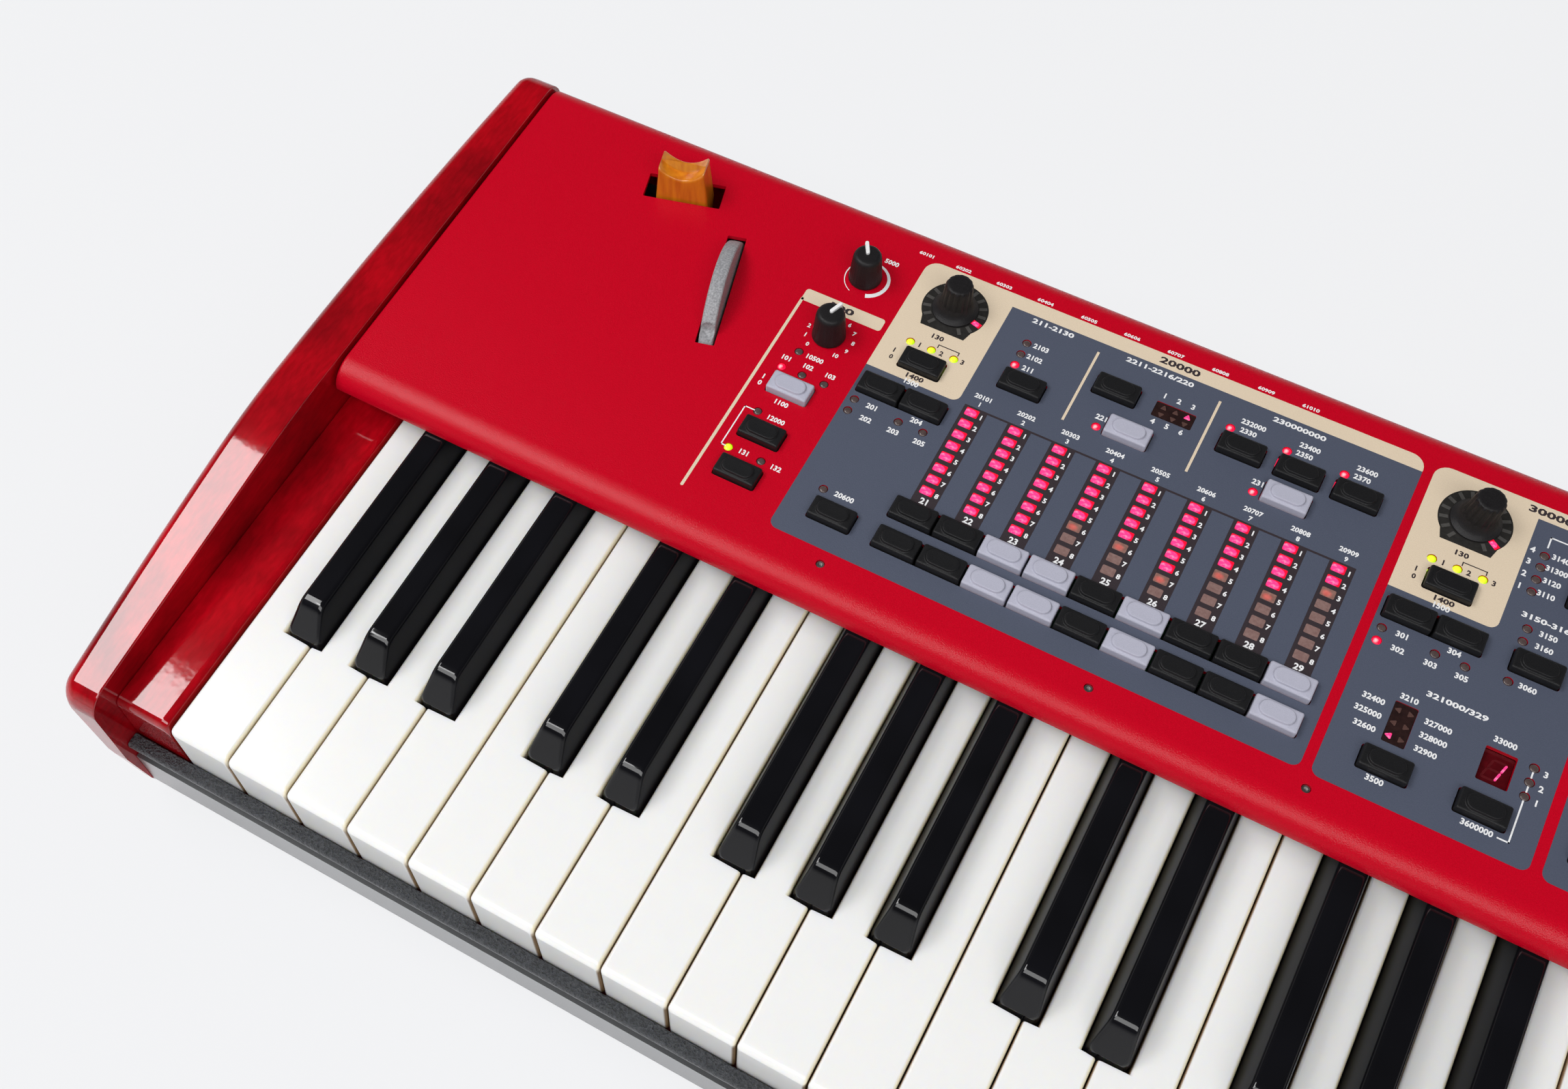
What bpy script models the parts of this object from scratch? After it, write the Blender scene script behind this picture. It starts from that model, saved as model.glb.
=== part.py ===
"""Stage piano with 73 waterfall keys, red steel panel and wooden end cheeks.

Metres, +Z up. X runs along the keys from low to high, Y from the player to the rear, Z from the floor.
The origin lies on the floor under the middle of the instrument.
"""
import math

import bmesh
import bpy
from mathutils import Matrix, Vector

for old_object in list(bpy.data.objects):
    bpy.data.objects.remove(old_object, do_unlink=True)

# Driving dimensions: the keyboard
WHITE_COUNT = 43                # white keys from F to F
MOVING_WHITES = 14              # the lowest two octaves are separate keys on their own hinges
KEY_PITCH = 0.0235              # from one white key to the next
KEY_GAP = 0.0009                # slot between two white keys
NOTCH_Y = 0.0482                # from the key fronts to the black keys
NOTCH_WIDTH = 0.0147            # slot that a black key stands in
BLACK_WIDTH = 0.0137            # black key at its base
BLACK_TOP_WIDTH = 0.0092        # black key across its top
BLACK_HEIGHT = 0.012            # black key above the white keys
BLACK_FRONT_RUN = 0.0095        # length of a black key's sloping front
BLACK_FRONT_SHARES = ((0.0, 0.12), (0.82, 0.90), (1.0, 0.98), (1.25, 1.0))  # of its run and its height
BLACK_SHIFTS = (-0.0032, 0.0, 0.0032, None, -0.0024, 0.0024, None)  # after F, G, A, B, C, D, E
WATERFALL_RADIUS = 0.003        # rounding of a white key's front edge
KEY_FRONT_DROP = 0.028          # height of a white key's front face
KEY_APRON = 0.004               # thickness of that front
KEY_BODY = 0.012                # height of a key behind its front
PIVOT_Y = 0.156                 # from the key fronts to the hinge line
KEY_DIP = 0.010                 # travel at a white key's front
SECTION_STEP = 0.0010           # run in which a key's height changes
NOTCH_STEP = 0.0004             # run in which its width changes beside a black key
TONGUE_OFFSET = 0.0035          # from the hinge line to the middle of the tongue between key and bar
TONGUE_HALF = 0.0020            # half the thickness of that tongue

# Driving dimensions: the case
DEPTH = 0.3005                  # overall, front to rear
FRONT_OVERHANG = 0.009          # the cheeks reach this far in front of the keys
FOOT_HEIGHT = 0.008
CASE_BELOW_KEYS = 0.058         # from the white key tops down to the underside of the pan
PANEL_RISE = 0.021              # panel above the white keys
CHEEK_RISE = 0.0225             # cheek's level top above the white keys
CHEEK_FRONT_RISE = 0.0105       # cheek's top above the white keys at the key fronts
CHEEK_KNEE_Y = 0.110            # where its slope meets the level top
CHEEK_KNEE_RUN = 0.018          # half the length of the curve there
CHEEK_THICKNESS = 0.0145        # at its ends
CHEEK_BULGE = 0.0045            # added halfway along
CHEEK_FOOT_THICKNESS = 0.0055   # at the bottom edge, where the cheek leans in
CHEEK_CORNER = 0.008            # rounding of its upper front and rear corners
CHEEK_EDGE = 0.0045             # rounding of its long outer edge
CHEEK_LEAN_BACK = 0.0033        # the front edge goes back this far towards the bottom
CHEEK_LEAN_HEIGHT = 0.45        # share of the case height in which it does so
CHEEK_RING_INSET = 0.045        # first full section behind the front
CHEEK_END_DRAW = 0.5            # the outer face draws in by this share of the corner's fall
CHEEK_INNER_EDGE = 0.0006
CHEEK_FOOT_EDGE = 0.0020
SIDE_MARGIN = 0.0226            # from the outer keys to a cheek's inner face
SEAT_GAP = 0.0003               # between pieces that rest on each other
PANEL_END_GAP = 0.0006          # shadow line between panel and cheek

# Driving dimensions: sheet metal and rail
PANEL_SHEET = 0.0016
PANEL_LIP_Y = 0.1335            # from the key fronts to the panel's front face
PANEL_LIP_RADIUS = 0.008
PANEL_REAR_RADIUS = 0.008
PANEL_REAR_INSET = 0.0003       # the cheeks stand this far behind the panel's rear face
PANEL_REAR_DROP = 0.035         # height of the panel's rear face
PAN_SHEET = 0.0015
PAN_CORNER = 0.0030
RAIL_TOP_DROP = 0.0245          # from the white key tops down to the front rail
RAIL_HEIGHT = 0.0100
RAIL_DEPTH = 0.0051
RAIL_CLEARANCE = 0.0006         # between the rail and the key fronts
RAIL_EDGE = 0.0014
RAIL_GROOVE = 0.0012            # shadow groove under the rail's nose
RAIL_GROOVE_HEIGHT = 0.0025
RAIL_GROOVE_SLOPE = 0.0004
RAIL_FOOT = 0.0010              # height of the band under the groove

# Driving dimensions: frame under the keys
FRAME_SHEET = 0.002
FRAME_INSET = 0.0006            # behind the key fronts
FRAME_SHELF_DEPTH = 0.020       # front shelf that takes the felt
FRAME_DECK_DROP = 0.026         # from the white key tops down to the deck under the keys
HINGE_BAR_DEPTH = 0.010
HINGE_CLEARANCE = 0.0004        # between a key's round tail and the hinge bars
FELT_THICKNESS = 0.002
FELT_WIDTH = 0.008
BLOCK_EDGE = 0.0035             # rounding of the key blocks

# Driving dimensions: controls
BUTTON_WIDTH = 0.0153
BUTTON_DEPTH = 0.0080
BUTTON_RISE = 0.0028            # shoulder above the panel
BUTTON_SHOULDER = 0.0003        # fall of the shoulder towards the cap's edge
BUTTON_PLATEAU = 0.0015         # raised pad above the shoulder
BUTTON_PAD_WIDTH = 0.0106
BUTTON_PAD_DEPTH = 0.0050
BUTTON_PAD_FLARE = 0.0014       # the pad's foot is wider than its top by this
BUTTON_PAD_ROUND = 0.4          # corner of the pad as a share of its depth
BUTTON_CORNER = 0.0011
BUTTON_CLEARANCE = 0.00035      # round each button in the panel
BUTTON_TRAVEL = 0.0008
BUTTON_PITCH = 0.0160           # between buttons that stand side by side
HOLE_WEB = 0.0010               # holes that would lie closer than this are one slot
CUT_MARGIN = 0.0020             # cutters reach this far past the sheet
BOARD_SHEET = 0.0016
BOARD_DROP = 0.0080             # from the panel's underside to the control board
BOARD_MARGIN = 0.0140           # from the rear edge of the instrument to the board
BOARD_START = (0.112, 0.155)    # the board's left front corner, from the lowest key's corner
POST_RADIUS = 0.0030
POST_SIDES = 8
KNOB_FOOT_RADIUS = 0.0060
KNOB_TOP_RADIUS = 0.0048
KNOB_HEIGHT = 0.0130
KNOB_BAND = 0.0010              # straight band at the knob's foot
KNOB_RIM = 0.0005
KNOB_SIDES = 20
POINTER_SIZE = (0.0013, 0.0052, 0.0012)   # raised bar on a knob: width, length and height
POINTER_INSET = 0.0001          # from its end to the rim of the knob's top
POINTER_SINK = 0.0006           # depth that it reaches into the knob
CARRIED_SIDES = 12
DIAL_FOOT_RADIUS = 0.0082       # conical skirt of a level dial
DIAL_NECK_RADIUS = 0.0052
DIAL_TOP_RADIUS = 0.0047
DIAL_HEIGHT = 0.0140
DIAL_SKIRT = 0.0035
KNOB_FLOAT = 0.0005             # between a knob and the panel
SHAFT_RADIUS = 0.0030
SHAFT_CLEARANCE = 0.0005
HOLE_SIDES = 10
STRIP_TILT = math.radians(14.5)  # stick and wheel stand at this angle to the keys
WHEEL_RADIUS = 0.0300
WHEEL_THICKNESS = 0.0054
WHEEL_RISE = 0.0107             # wheel's crown above the panel
WHEEL_SLOT = (0.0062, 0.0496)
WHEEL_AXLE_RADIUS = 0.0030
WHEEL_EDGE = 0.0008
WHEEL_DIMPLE_ANGLE = math.radians(44)
WHEEL_DIMPLE_RADIUS = 0.0034
WHEEL_DIMPLE_RISE = 0.45        # centre of the dimple's ball above the rim, as a share of its radius
WHEEL_SIDES = 36
WHEEL_FORK = (0.0100, 0.0070)   # half its length, and its top above the axle
STICK_SLOT = (0.0292, 0.0112)
STICK_WIDTH = 0.0205            # at the panel
STICK_TOP_WIDTH = 0.0172
STICK_DEPTH = 0.0096
STICK_RISE = 0.0150             # horns above the panel
STICK_SADDLE = 0.0045           # hollow between the horns
STICK_PIVOT_DROP = 0.0300       # hinge below the panel
STICK_FOOT = (0.0080, 0.0060)   # half the width of its foot, and the foot below the hinge
STICK_WAIST_DROP = 0.0040       # the widest section lies this far below the panel
STICK_STEPS = 12
STICK_PIN_RADIUS = 0.0020
STICK_FORK = (0.0140, 0.0060)   # half its length, and its top above the hinge
BRACKET_SHEET = 0.0020
BRACKET_CLEARANCE = 0.0004
BRACKET_FLOOR = 0.0030
PIN_SIDES = 16

# Driving dimensions: what lies inside and behind
FOOT_RADIUS = 0.0110
FOOT_TAPER = 0.0020
FOOT_BAND = 0.0020
FOOT_SIDES = 16
FOOT_INSET = (0.060, 0.040)     # from the pan's ends and from its front and rear
SOCKET_PITCH = 0.0161
SOCKET_FIRST_X = 0.1415         # from the lowest key's left edge
SOCKET_COUNT = 10
SOCKET_RADIUS = 0.0056
SOCKET_BORE_RADIUS = 0.0033
SOCKET_BORE_DEPTH = 0.0030
SOCKET_HOLE_CLEARANCE = 0.0004
SOCKET_Z = 0.030                # sockets above the underside of the pan
SOCKET_STAND_OFF = 0.0008       # sockets stand this far behind the inside of the pan's rear face
SOCKET_DEPTH = 0.0140           # of their bodies
SOCKET_SEAT = 0.0010            # they sink this far into the main board
INLET_SIZE = (0.0220, 0.0140)   # mains inlet
INLET_X = 0.940
DATA_X = (0.330, 0.356)          # two round data sockets
DATA_RADIUS = 0.0080
MAIN_BOARD_CLEARANCE = 0.005    # between the power supply and the main board
MAIN_BOARD_X = 0.120            # its left edge from the lowest key's left edge
MAIN_BOARD_MARGIN = 0.020       # it ends this far past the mains inlet
DATA_SIDES = 16
SUPPLY_SIZE = (0.130, 0.048, 0.030)
SUPPLY_CLEARANCE = 0.004        # from the key frame's rear leg
SUPPLY_X = 0.880

# Places that follow from the driving dimensions
KEYBED_LENGTH = WHITE_COUNT * KEY_PITCH
LEFT_X = -KEYBED_LENGTH / 2
CHEEK_X = KEYBED_LENGTH / 2 + SIDE_MARGIN
FRONT_Y = -DEPTH / 2 + FRONT_OVERHANG
REAR_Y = DEPTH / 2
PAN_Z = FOOT_HEIGHT
KEY_Z = PAN_Z + CASE_BELOW_KEYS
PANEL_Z = KEY_Z + PANEL_RISE
PANEL_UNDER_Z = PANEL_Z - PANEL_SHEET
PANEL_REAR_Y = REAR_Y - PANEL_REAR_INSET
PAN_FLOOR_Z = PAN_Z + PAN_SHEET
PIVOT_Z = KEY_Z - KEY_BODY / 2
TAIL_RADIUS = KEY_BODY / 2
RAIL_BACK_Y = FRONT_Y - RAIL_CLEARANCE
RAIL_FRONT_Y = RAIL_BACK_Y - RAIL_DEPTH
RAIL_TOP_Z = KEY_Z - RAIL_TOP_DROP
HINGE_BAR_Y = FRONT_Y + PIVOT_Y + TAIL_RADIUS + HINGE_CLEARANCE
FELT_TOP_Z = KEY_Z - KEY_FRONT_DROP - KEY_DIP - SEAT_GAP
BOARD_TOP_Z = PANEL_UNDER_Z - BOARD_DROP
PANEL_DEPTH = DEPTH - FRONT_OVERHANG - PANEL_LIP_Y
SUPPLY_Y = HINGE_BAR_Y + HINGE_BAR_DEPTH + SUPPLY_CLEARANCE
MAIN_BOARD_Y = SUPPLY_Y + SUPPLY_SIZE[1] + MAIN_BOARD_CLEARANCE

MATERIALS = {
    "red_panel": ((0.48, 0.003, 0.012), 0.42, 0.0),
    "red_wood": ((0.22, 0.004, 0.006), 0.12, 0.0),
    "black_steel": ((0.03, 0.03, 0.033), 0.45, 0.6),
    "black_plastic": ((0.012, 0.012, 0.013), 0.5, 0.0),
    "white_key": ((0.86, 0.85, 0.80), 0.18, 0.0),
    "black_key": ((0.006, 0.006, 0.007), 0.12, 0.0),
    "grey_rubber": ((0.42, 0.42, 0.50), 0.6, 0.0),
    "honey_wood": ((0.55, 0.22, 0.03), 0.3, 0.0),
    "grey_stone": ((0.33, 0.33, 0.34), 0.55, 0.0),
    "zinc_steel": ((0.55, 0.56, 0.57), 0.35, 1.0),
    "circuit_board": ((0.01, 0.10, 0.04), 0.5, 0.0),
    "red_felt": ((0.25, 0.02, 0.02), 0.95, 0.0),
    "rubber": ((0.02, 0.02, 0.02), 0.85, 0.0),
}


def material(name):
    """Return the named Principled material, made on first use."""
    found = bpy.data.materials.get(name)
    if found:
        return found
    colour, roughness, metallic = MATERIALS[name]
    made = bpy.data.materials.new(name)
    made.use_nodes = True
    shader = made.node_tree.nodes["Principled BSDF"]
    shader.inputs["Base Color"].default_value = (*colour, 1.0)
    shader.inputs["Roughness"].default_value = roughness
    shader.inputs["Metallic"].default_value = metallic
    return made


def add_object(name, mesh, material_name, location=(0, 0, 0), turn=0.0):
    """Link a mesh as one named piece, placed by its location and its turn about Z."""
    made = bpy.data.objects.new(name, mesh)
    bpy.context.scene.collection.objects.link(made)
    made.location = location
    made.rotation_euler = (0, 0, turn)
    mesh.materials.append(material(material_name))
    return made


def as_mesh(name, build, smooth=False):
    """Turn a bmesh into a mesh whose faces point outward."""
    bmesh.ops.recalc_face_normals(build, faces=build.faces)
    mesh = bpy.data.meshes.new(name)
    build.to_mesh(mesh)
    build.free()
    if smooth:
        mesh.shade_smooth()
        mesh.set_sharp_from_angle(angle=math.radians(35))
    return mesh


def loft(build, sections):
    """Join equal rings of points in order and close both ends."""
    rings = [[build.verts.new(point) for point in section] for section in sections]
    count = len(rings[0])
    for near, far in zip(rings, rings[1:]):
        for i in range(count):
            j = (i + 1) % count
            build.faces.new((near[i], near[j], far[j], far[i]))
    build.faces.new(rings[0])
    build.faces.new(reversed(rings[-1]))


def box(build, low, high):
    """Add a box between two corners."""
    (x0, y0, z0), (x1, y1, z1) = low, high
    loft(build, [[(x0, y0, z), (x1, y0, z), (x1, y1, z), (x0, y1, z)] for z in (z0, z1)])


def extrude_x(build, profile, x0, x1):
    """Carry a closed (y, z) profile from x0 to x1."""
    loft(build, [[(x, y, z) for y, z in profile] for x in (x0, x1)])


def revolve(build, profile, segments, centre=(0, 0, 0), axis="Z"):
    """Turn a (radius, height) profile about an axis through the centre; both ends are closed."""
    sections = []
    for radius, height in profile:
        ring = []
        for i in range(segments):
            angle = math.tau * i / segments
            u, v = radius * math.cos(angle), radius * math.sin(angle)
            local = {"Z": (u, v, height), "X": (height, u, v), "Y": (v, height, u)}[axis]
            ring.append(Vector(centre) + Vector(local))
        sections.append(ring)
    loft(build, sections)


def arc(centre_y, centre_z, radius, start, end, steps):
    """Points on an arc in the (y, z) plane; the angles are in degrees from +Y."""
    angles = [math.radians(start + (end - start) * i / steps) for i in range(steps + 1)]
    return [(centre_y + radius * math.cos(a), centre_z + radius * math.sin(a)) for a in angles]


def rounded_rectangle(width, depth, corner, z):
    """Eight-point outline with cut corners, as a button cap has at this size."""
    w, d = width / 2, depth / 2
    points = [(w, d - corner), (w - corner, d), (corner - w, d), (-w, d - corner),
              (-w, corner - d), (corner - w, -d), (w - corner, -d), (w, corner - d)]
    return [(x, y, z) for x, y in points]


def add_boolean(target, cutter, operation):
    """Cut or join with another object, which is only a guide and not a piece."""
    cutter.hide_render = True
    cutter.display_type = "WIRE"
    step = target.modifiers.new(operation.title(), "BOOLEAN")
    step.operation = operation
    step.solver = "EXACT"
    step.object = cutter


def guide(name, build):
    """Make a bmesh into an object used only by a Boolean."""
    return add_object(name, as_mesh(name, build), "black_plastic")


def key_line(index):
    """X of the line between white key index - 1 and white key index."""
    return LEFT_X + index * KEY_PITCH


def has_black(index):
    """True when a black key stands at the right of this white key."""
    return 0 <= index < WHITE_COUNT - 1 and BLACK_SHIFTS[index % 7] is not None


def black_centre(index):
    """X of the black key at the right of this white key."""
    return key_line(index + 1) + BLACK_SHIFTS[index % 7]


def tail_rings():
    """(y, half height) of a key's round tail behind its hinge line."""
    return [(PIVOT_Y + TAIL_RADIUS * math.sin(a), TAIL_RADIUS * math.cos(a))
            for a in (math.radians(45), math.radians(80))]


def white_key(build, index, carried):
    """One waterfall key; a carried key runs on into the lower hinge bar."""
    left = key_line(index) + KEY_GAP / 2
    right = key_line(index + 1) - KEY_GAP / 2
    tail_left = black_centre(index - 1) + NOTCH_WIDTH / 2 if has_black(index - 1) else left
    tail_right = black_centre(index) - NOTCH_WIDTH / 2 if has_black(index) else right
    low, body = KEY_Z - KEY_FRONT_DROP, KEY_Z - KEY_BODY
    rings = []
    for angle in (0, 45, 90):
        a = math.radians(angle)
        y = WATERFALL_RADIUS * (1 - math.cos(a))
        rings.append((y, left, right, low, KEY_Z - WATERFALL_RADIUS * (1 - math.sin(a))))
    rings.append((KEY_APRON, left, right, low, KEY_Z))
    rings.append((KEY_APRON + SECTION_STEP, left, right, body, KEY_Z))
    rings.append((NOTCH_Y, left, right, body, KEY_Z))
    rings.append((NOTCH_Y + NOTCH_STEP, tail_left, tail_right, body, KEY_Z))
    rings.append((PIVOT_Y, tail_left, tail_right, body, KEY_Z))
    if carried:
        middle = PIVOT_Z - TONGUE_OFFSET
        tongue = (middle - TONGUE_HALF, middle + TONGUE_HALF)
        rings.append((PIVOT_Y + SECTION_STEP, tail_left, tail_right, *tongue))
        rings.append((HINGE_BAR_Y - FRONT_Y + HINGE_BAR_DEPTH / 2, tail_left, tail_right, *tongue))
    else:
        rings += [(y, tail_left, tail_right, PIVOT_Z - h, PIVOT_Z + h) for y, h in tail_rings()]
    rings = [(FRONT_Y + y, *rest) for y, *rest in rings]
    loft(build, [[(x0, y, z0), (x1, y, z0), (x1, y, z1), (x0, y, z1)] for y, x0, x1, z0, z1 in rings])


def black_key(build, index, carried):
    """One black key: sloping front, tapered flanks and a low tail under the panel."""
    centre = black_centre(index)
    base, body = BLACK_WIDTH / 2, KEY_Z - KEY_BODY
    top_end = PANEL_LIP_Y + PANEL_LIP_RADIUS
    start = NOTCH_Y + (NOTCH_WIDTH - BLACK_WIDTH) / 2 + NOTCH_STEP

    def ring(y, low, high):
        share = max(0.0, (high - KEY_Z) / BLACK_HEIGHT)
        top = base + (BLACK_TOP_WIDTH / 2 - base) * share
        corners = [(-base, low), (base, low), (top, high), (-top, high)]
        return [(centre + x, FRONT_Y + y, z) for x, z in corners]

    sections = [ring(start + run * BLACK_FRONT_RUN, body, KEY_Z + rise * BLACK_HEIGHT)
                for run, rise in BLACK_FRONT_SHARES]
    sections.append(ring(top_end, body, KEY_Z + BLACK_HEIGHT))
    sections.append(ring(top_end + SECTION_STEP, body, KEY_Z))
    sections.append(ring(PIVOT_Y, body, KEY_Z))
    if carried:
        middle = PIVOT_Z + TONGUE_OFFSET
        tongue = (middle - TONGUE_HALF, middle + TONGUE_HALF)
        sections.append(ring(PIVOT_Y + SECTION_STEP, *tongue))
        sections.append(ring(HINGE_BAR_Y - FRONT_Y + HINGE_BAR_DEPTH / 2, *tongue))
    else:
        sections += [ring(y, PIVOT_Z - h, PIVOT_Z + h) for y, h in tail_rings()]
    loft(build, sections)


def add_moving_key(name, make, index, material_name):
    """A key with its origin on its own hinge line."""
    build = bmesh.new()
    make(build, index, False)
    origin = Vector((key_line(index) + KEY_PITCH / 2, FRONT_Y + PIVOT_Y, PIVOT_Z))
    bmesh.ops.translate(build, verts=build.verts, vec=-origin)
    add_object(name, as_mesh(name, build), material_name, origin)


def add_hinge_bar(name, make, indices, low, high, material_name):
    """A bar along the keyboard with the upper keys on it."""
    bar = bmesh.new()
    box(bar, (LEFT_X, HINGE_BAR_Y, low), (-LEFT_X, HINGE_BAR_Y + HINGE_BAR_DEPTH, high))
    piece = add_object(name, as_mesh(name, bar), material_name)
    keys = bmesh.new()
    for index in indices:
        make(keys, index, True)
    add_boolean(piece, guide(name + "_keys_guide", keys), "UNION")


def build_keyboard():
    """Two octaves of separate keys, and the rest on the bars that carry them."""
    blacks = [i for i in range(WHITE_COUNT) if has_black(i)]
    moving_blacks = [i for i in blacks if i < MOVING_WHITES - 1]
    for index in range(MOVING_WHITES):
        add_moving_key(f"white_key_{index + 1:02d}", white_key, index, "white_key")
    for number, index in enumerate(moving_blacks, 1):
        add_moving_key(f"black_key_{number:02d}", black_key, index, "black_key")
    split = SEAT_GAP / 2
    low = KEY_Z - KEY_BODY
    upper_whites = range(MOVING_WHITES, WHITE_COUNT)
    upper_blacks = [i for i in blacks if i not in moving_blacks]
    add_hinge_bar("white_key_bar", white_key, upper_whites, low, PIVOT_Z - split, "white_key")
    add_hinge_bar("black_key_bar", black_key, upper_blacks, PIVOT_Z + split, KEY_Z, "black_key")


def build_key_frame():
    """Folded steel frame: felt shelf in front, deck under the keys, step that takes the hinge bars."""
    t = FRAME_SHEET
    floor = PAN_FLOOR_Z + SEAT_GAP
    shelf = FELT_TOP_Z - FELT_THICKNESS - SEAT_GAP
    deck = KEY_Z - FRAME_DECK_DROP
    step = KEY_Z - KEY_BODY - SEAT_GAP
    y0, y1 = FRONT_Y + FRAME_INSET, FRONT_Y + FRAME_SHELF_DEPTH
    y2, y3 = HINGE_BAR_Y, HINGE_BAR_Y + HINGE_BAR_DEPTH
    profile = [(y0, floor), (y0, shelf), (y1, shelf), (y1, deck), (y2, deck), (y2, step),
               (y3, step), (y3, floor), (y3 - t, floor), (y3 - t, step - t), (y2 + t, step - t),
               (y2 + t, deck - t), (y1 + t, deck - t), (y1 + t, shelf - t),
               (y0 + t, shelf - t), (y0 + t, floor)]
    frame = bmesh.new()
    extrude_x(frame, profile, LEFT_X, -LEFT_X)
    add_object("key_frame", as_mesh("key_frame", frame), "zinc_steel")
    felt = bmesh.new()
    box(felt, (LEFT_X, y0, FELT_TOP_Z - FELT_THICKNESS), (-LEFT_X, y0 + FELT_WIDTH, FELT_TOP_Z))
    add_object("key_stop_felt", as_mesh("key_stop_felt", felt), "red_felt")


def panel_place(x, y):
    """World X and Y of a place on the panel; the places spread with the panel's depth."""
    behind_lip = (y - PANEL_LIP_Y) * PANEL_DEPTH / LAYOUT_DEPTH
    return LEFT_X + x, FRONT_Y + PANEL_LIP_Y + behind_lip


# Places from the lowest key's left edge and from the key fronts, on a panel of the layout depth
LAYOUT_DEPTH = 0.1580
STICK_PLACE = (0.0479, 0.2653)
WHEEL_PLACE = (0.0819, 0.2310)
ROTOR_X = 0.1237                # middle of the rotor column
KNOB_X = 0.1250
MASTER_KNOB_Y = 0.2597
DRIVE_KNOB_Y = 0.2308
DIAL_Y = 0.2618
ZONE_Y = 0.2343
OCTAVE_Y = 0.2182
DRAWBAR_ROWS_Y = (0.1777, 0.1650)
SECTION_XS = {"organ": 0.1420, "piano": 0.3261, "synth": 0.5250}
DIAL_INSET = 0.0172             # from a section's left edge to its level dial
DRAWBAR_INSET = 0.0407          # from the organ section's left edge to its first column
DRAWBAR_COLUMNS = 9
EFFECT_DIALS_X = (0.742, 0.790, 0.838, 0.886)
PIANO_WIDTH = 0.0654
PROGRAM_COUNT = 4               # spread evenly between the piano and synth sections
PERCUSSION_XS = (0.2676, 0.2875, 0.3070)
PERCUSSION_Y = 0.2524
EFFECT_ON_Y = 0.2408            # vibrato and percussion switches
ROTOR_YS = (0.2037, 0.1828, 0.1652)
SIDE_BUTTON_OFFSET = 0.0320     # from a section's dial to the button beside its octave keys
LOW_BUTTON_OFFSETS = (0.0015, 0.0310)
PIANO_MODEL_PLACE = (0.3845, 0.2480)
MASTER_POINTER = math.radians(30)    # anticlockwise from straight back
DRIVE_POINTER = math.radians(-20)
VIBRATO_WINDOW = (0.2430, 0.2552, 0.0140, 0.0066)   # x, y, width, depth
TYPE_WINDOW = (0.0014, 0.1804, 0.0072, 0.0150)      # x from the middle of the piano dial
MODEL_WINDOW = (0.0309, 0.1803, 0.0096, 0.0122)
PROGRAM_WINDOW = (0.2260, 0.0460, 0.0160)           # y, width, depth, midway between piano and synth
SYNTH_DIALS_X = (0.615, 0.649, 0.683)
SMALL_DIALS_Y = 0.2520
BOARD_POSTS_X = (0.250, 0.408, 0.512, 0.715, 0.930, 1.000)
BOARD_POSTS_Y = 0.2750

OCTAVE_OFFSETS = (-BUTTON_PITCH / 2, BUTTON_PITCH / 2)
ORGAN_MIDDLE = SECTION_XS["organ"] + DIAL_INSET

MOVING_BUTTONS = {
    "rotor_source_button": (ROTOR_X, ROTOR_YS[0], "grey_rubber"),
    "rotor_stop_button": (ROTOR_X, ROTOR_YS[1], "black_plastic"),
    "rotor_speed_button": (ROTOR_X, ROTOR_YS[2], "black_plastic"),
    "organ_zone_button": (ORGAN_MIDDLE, ZONE_Y, "black_plastic"),
    "organ_octave_down_button": (ORGAN_MIDDLE + OCTAVE_OFFSETS[0], OCTAVE_Y, "black_plastic"),
    "organ_octave_up_button": (ORGAN_MIDDLE + OCTAVE_OFFSETS[1], OCTAVE_Y, "black_plastic"),
    "organ_model_button": (0.1931, 0.2423, "black_plastic"),
    "vibrato_type_button": (0.2223, 0.2554, "black_plastic"),
    "vibrato_on_button": (0.2321, EFFECT_ON_Y, "grey_rubber"),
    "percussion_on_button": (0.2872, EFFECT_ON_Y, "grey_rubber"),
}


def carried_button_places():
    """Places of the buttons that stay on the control board: (x, y)."""
    places = [(x, PERCUSSION_Y) for x in PERCUSSION_XS]
    places.append((ORGAN_MIDDLE, DRAWBAR_ROWS_Y[1]))
    first = SECTION_XS["organ"] + DRAWBAR_INSET
    places += [(first + i * BUTTON_PITCH, y) for y in DRAWBAR_ROWS_Y for i in range(DRAWBAR_COLUMNS)]
    for name in ("piano", "synth"):
        middle = SECTION_XS[name] + DIAL_INSET
        places.append((middle, ZONE_Y))
        places += [(middle + offset, OCTAVE_Y) for offset in (*OCTAVE_OFFSETS, SIDE_BUTTON_OFFSET)]
        places += [(middle + offset, DRAWBAR_ROWS_Y[1]) for offset in LOW_BUTTON_OFFSETS]
    places.append(PIANO_MODEL_PLACE)
    start = SECTION_XS["piano"] + PIANO_WIDTH
    pitch = (SECTION_XS["synth"] - start) / PROGRAM_COUNT
    places += [(start + (i + 0.5) * pitch, DRAWBAR_ROWS_Y[1]) for i in range(PROGRAM_COUNT)]
    places += [(x, DRAWBAR_ROWS_Y[1]) for x in EFFECT_DIALS_X]
    return places


def carried_dial_places():
    """Places of the dials whose shafts stay on the control board: (x, y)."""
    places = [(SECTION_XS["synth"] + DIAL_INSET, DIAL_Y)]
    places += [(x, SMALL_DIALS_Y) for x in SYNTH_DIALS_X + EFFECT_DIALS_X]
    return places


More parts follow.
